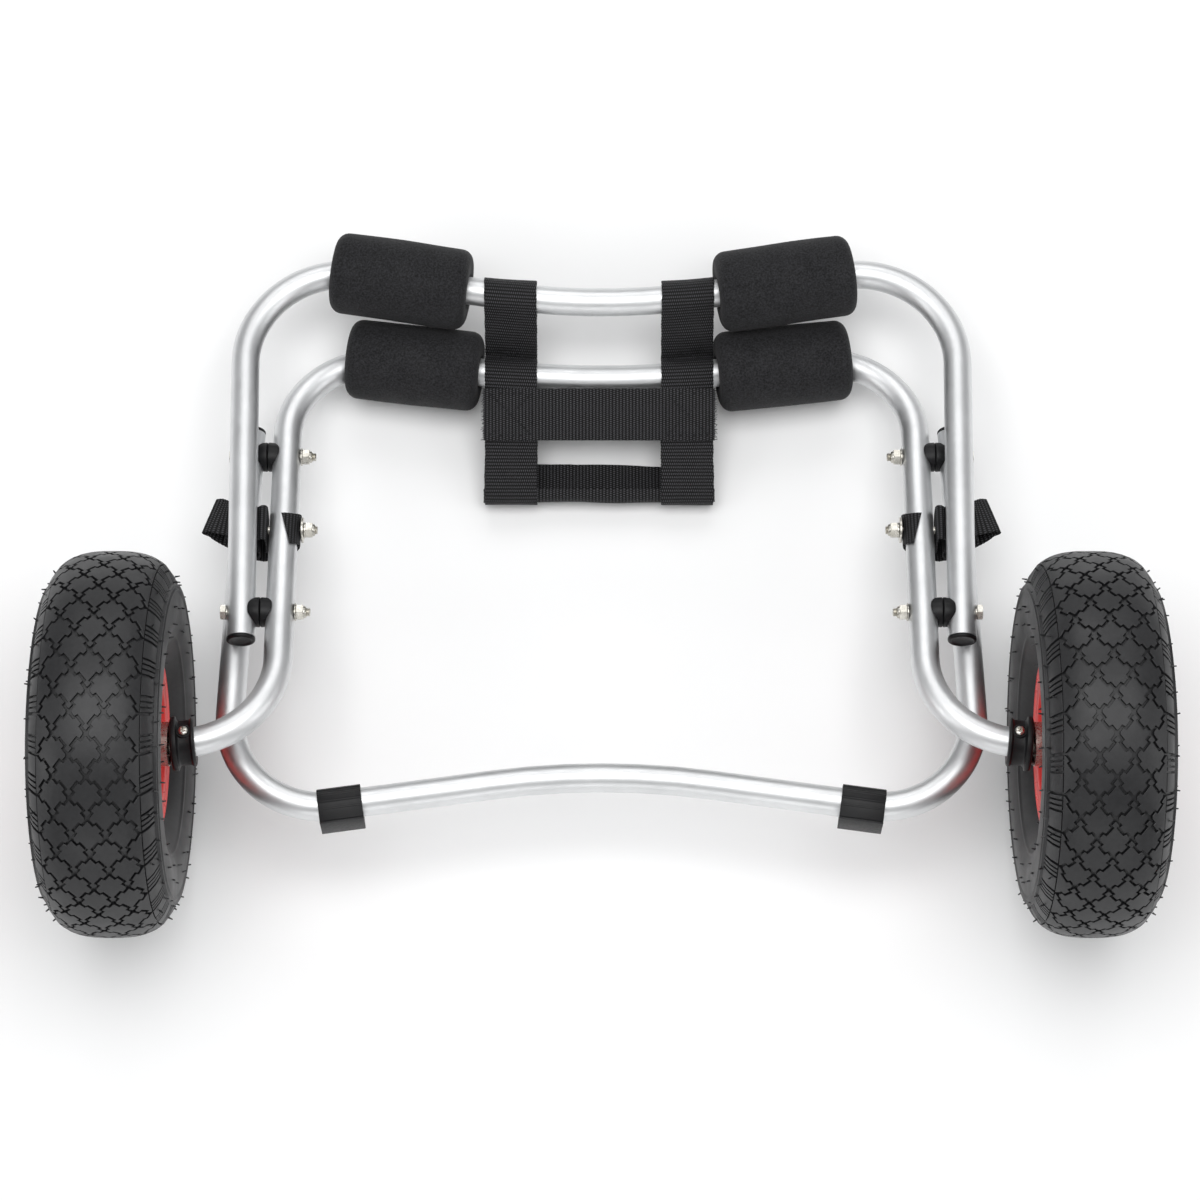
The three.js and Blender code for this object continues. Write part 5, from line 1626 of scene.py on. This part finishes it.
for side, sign in sides.items():
    name = f"check_strap_{side}"
    strap = ribbon(f"{name}_web", check_line, check_width, check_lay, 70, 0.12 * MM, 10, cut=slanted_cut)
    moved(strap, wheel_plane @ Matrix.Diagonal((sign, 1, 1, 1)))
    dress(strap, "webbing", stands_for=[name])
    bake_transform(strap)

# %% [markdown]
# The stage is a pale floor under large soft lights, as in a product photo. The camera looks down on the
# folded cart from where the photo was taken, found from the two wheels and the nested frames.

# %% Stage, light and camera
bpy.ops.mesh.primitive_plane_add(size=12)
floor = bpy.context.object
floor.name = "studio_floor"
floor_look = ("cloud", 0.3, "#f4f4f4", 0.7, "#f8f8f8")
matt = {"Roughness": 0.9}
floor_material = surface("Matt white studio floor", {"cloud": (500, *plain)}, floor_look, shader=matt)
floor.data.materials.append(floor_material)


def soft_light(name, place, target, size, power):
    bpy.ops.object.light_add(type="AREA", location=place)
    light = bpy.context.object
    light.name = name
    light.data.shape = "RECTANGLE"
    light.data.size, light.data.size_y = size
    light.data.energy = power
    light.rotation_euler = (Vector(target) - Vector(place)).to_track_quat("-Z", "Y").to_euler()
    return light


soft_light("overhead_softbox", (0.0, 0.1, 2.3), (0, 0, 0), (2.2, 1.4), 33)
soft_light("back_softbox", (0, 2.3, 1.8), (0, 0, 0), (2.4, 1.2), 18)
soft_light("left_softbox", (-2.2, -0.6, 1.2), (0, 0, 0), (1.2, 1.6), 12)
soft_light("right_softbox", (2.2, -0.6, 1.2), (0, 0, 0), (1.2, 1.6), 12)
soft_light("front_softbox", (0, -2.4, 0.9), (0, 0, 0.1), (2.4, 1.0), 11)

world = bpy.context.scene.world or bpy.data.worlds.new("World")
bpy.context.scene.world = world
world.use_nodes = True
world.node_tree.nodes["Background"].inputs["Color"].default_value = (0.93, 0.94, 0.95, 1)
world.node_tree.nodes["Background"].inputs["Strength"].default_value = 0.4

camera_distance = 2300 * MM
camera_aim = 97 * MM
photo_size = 1200
focal_pixels = 3415.5
shift_pixels = -1.5
slant_to_legs = 57
camera_elevation = -math.asin(up_leg.z) + math.radians(slant_to_legs)
look = Vector((0, math.cos(camera_elevation), -math.sin(camera_elevation)))
rise = Vector((0, math.sin(camera_elevation), math.cos(camera_elevation)))
bpy.ops.object.camera_add(location=axle + rise * camera_aim - look * camera_distance)
camera = bpy.context.object
camera.rotation_euler = Matrix((Vector((1, 0, 0)), rise, -look)).transposed().to_euler()
camera.data.sensor_width = 36
camera.data.lens = focal_pixels / photo_size * camera.data.sensor_width
camera.data.shift_x = shift_pixels / photo_size
bpy.context.scene.camera = camera
bpy.context.scene.view_settings.view_transform = "Standard"

# %% Finish
print("dressed", len(dressed), "pieces")
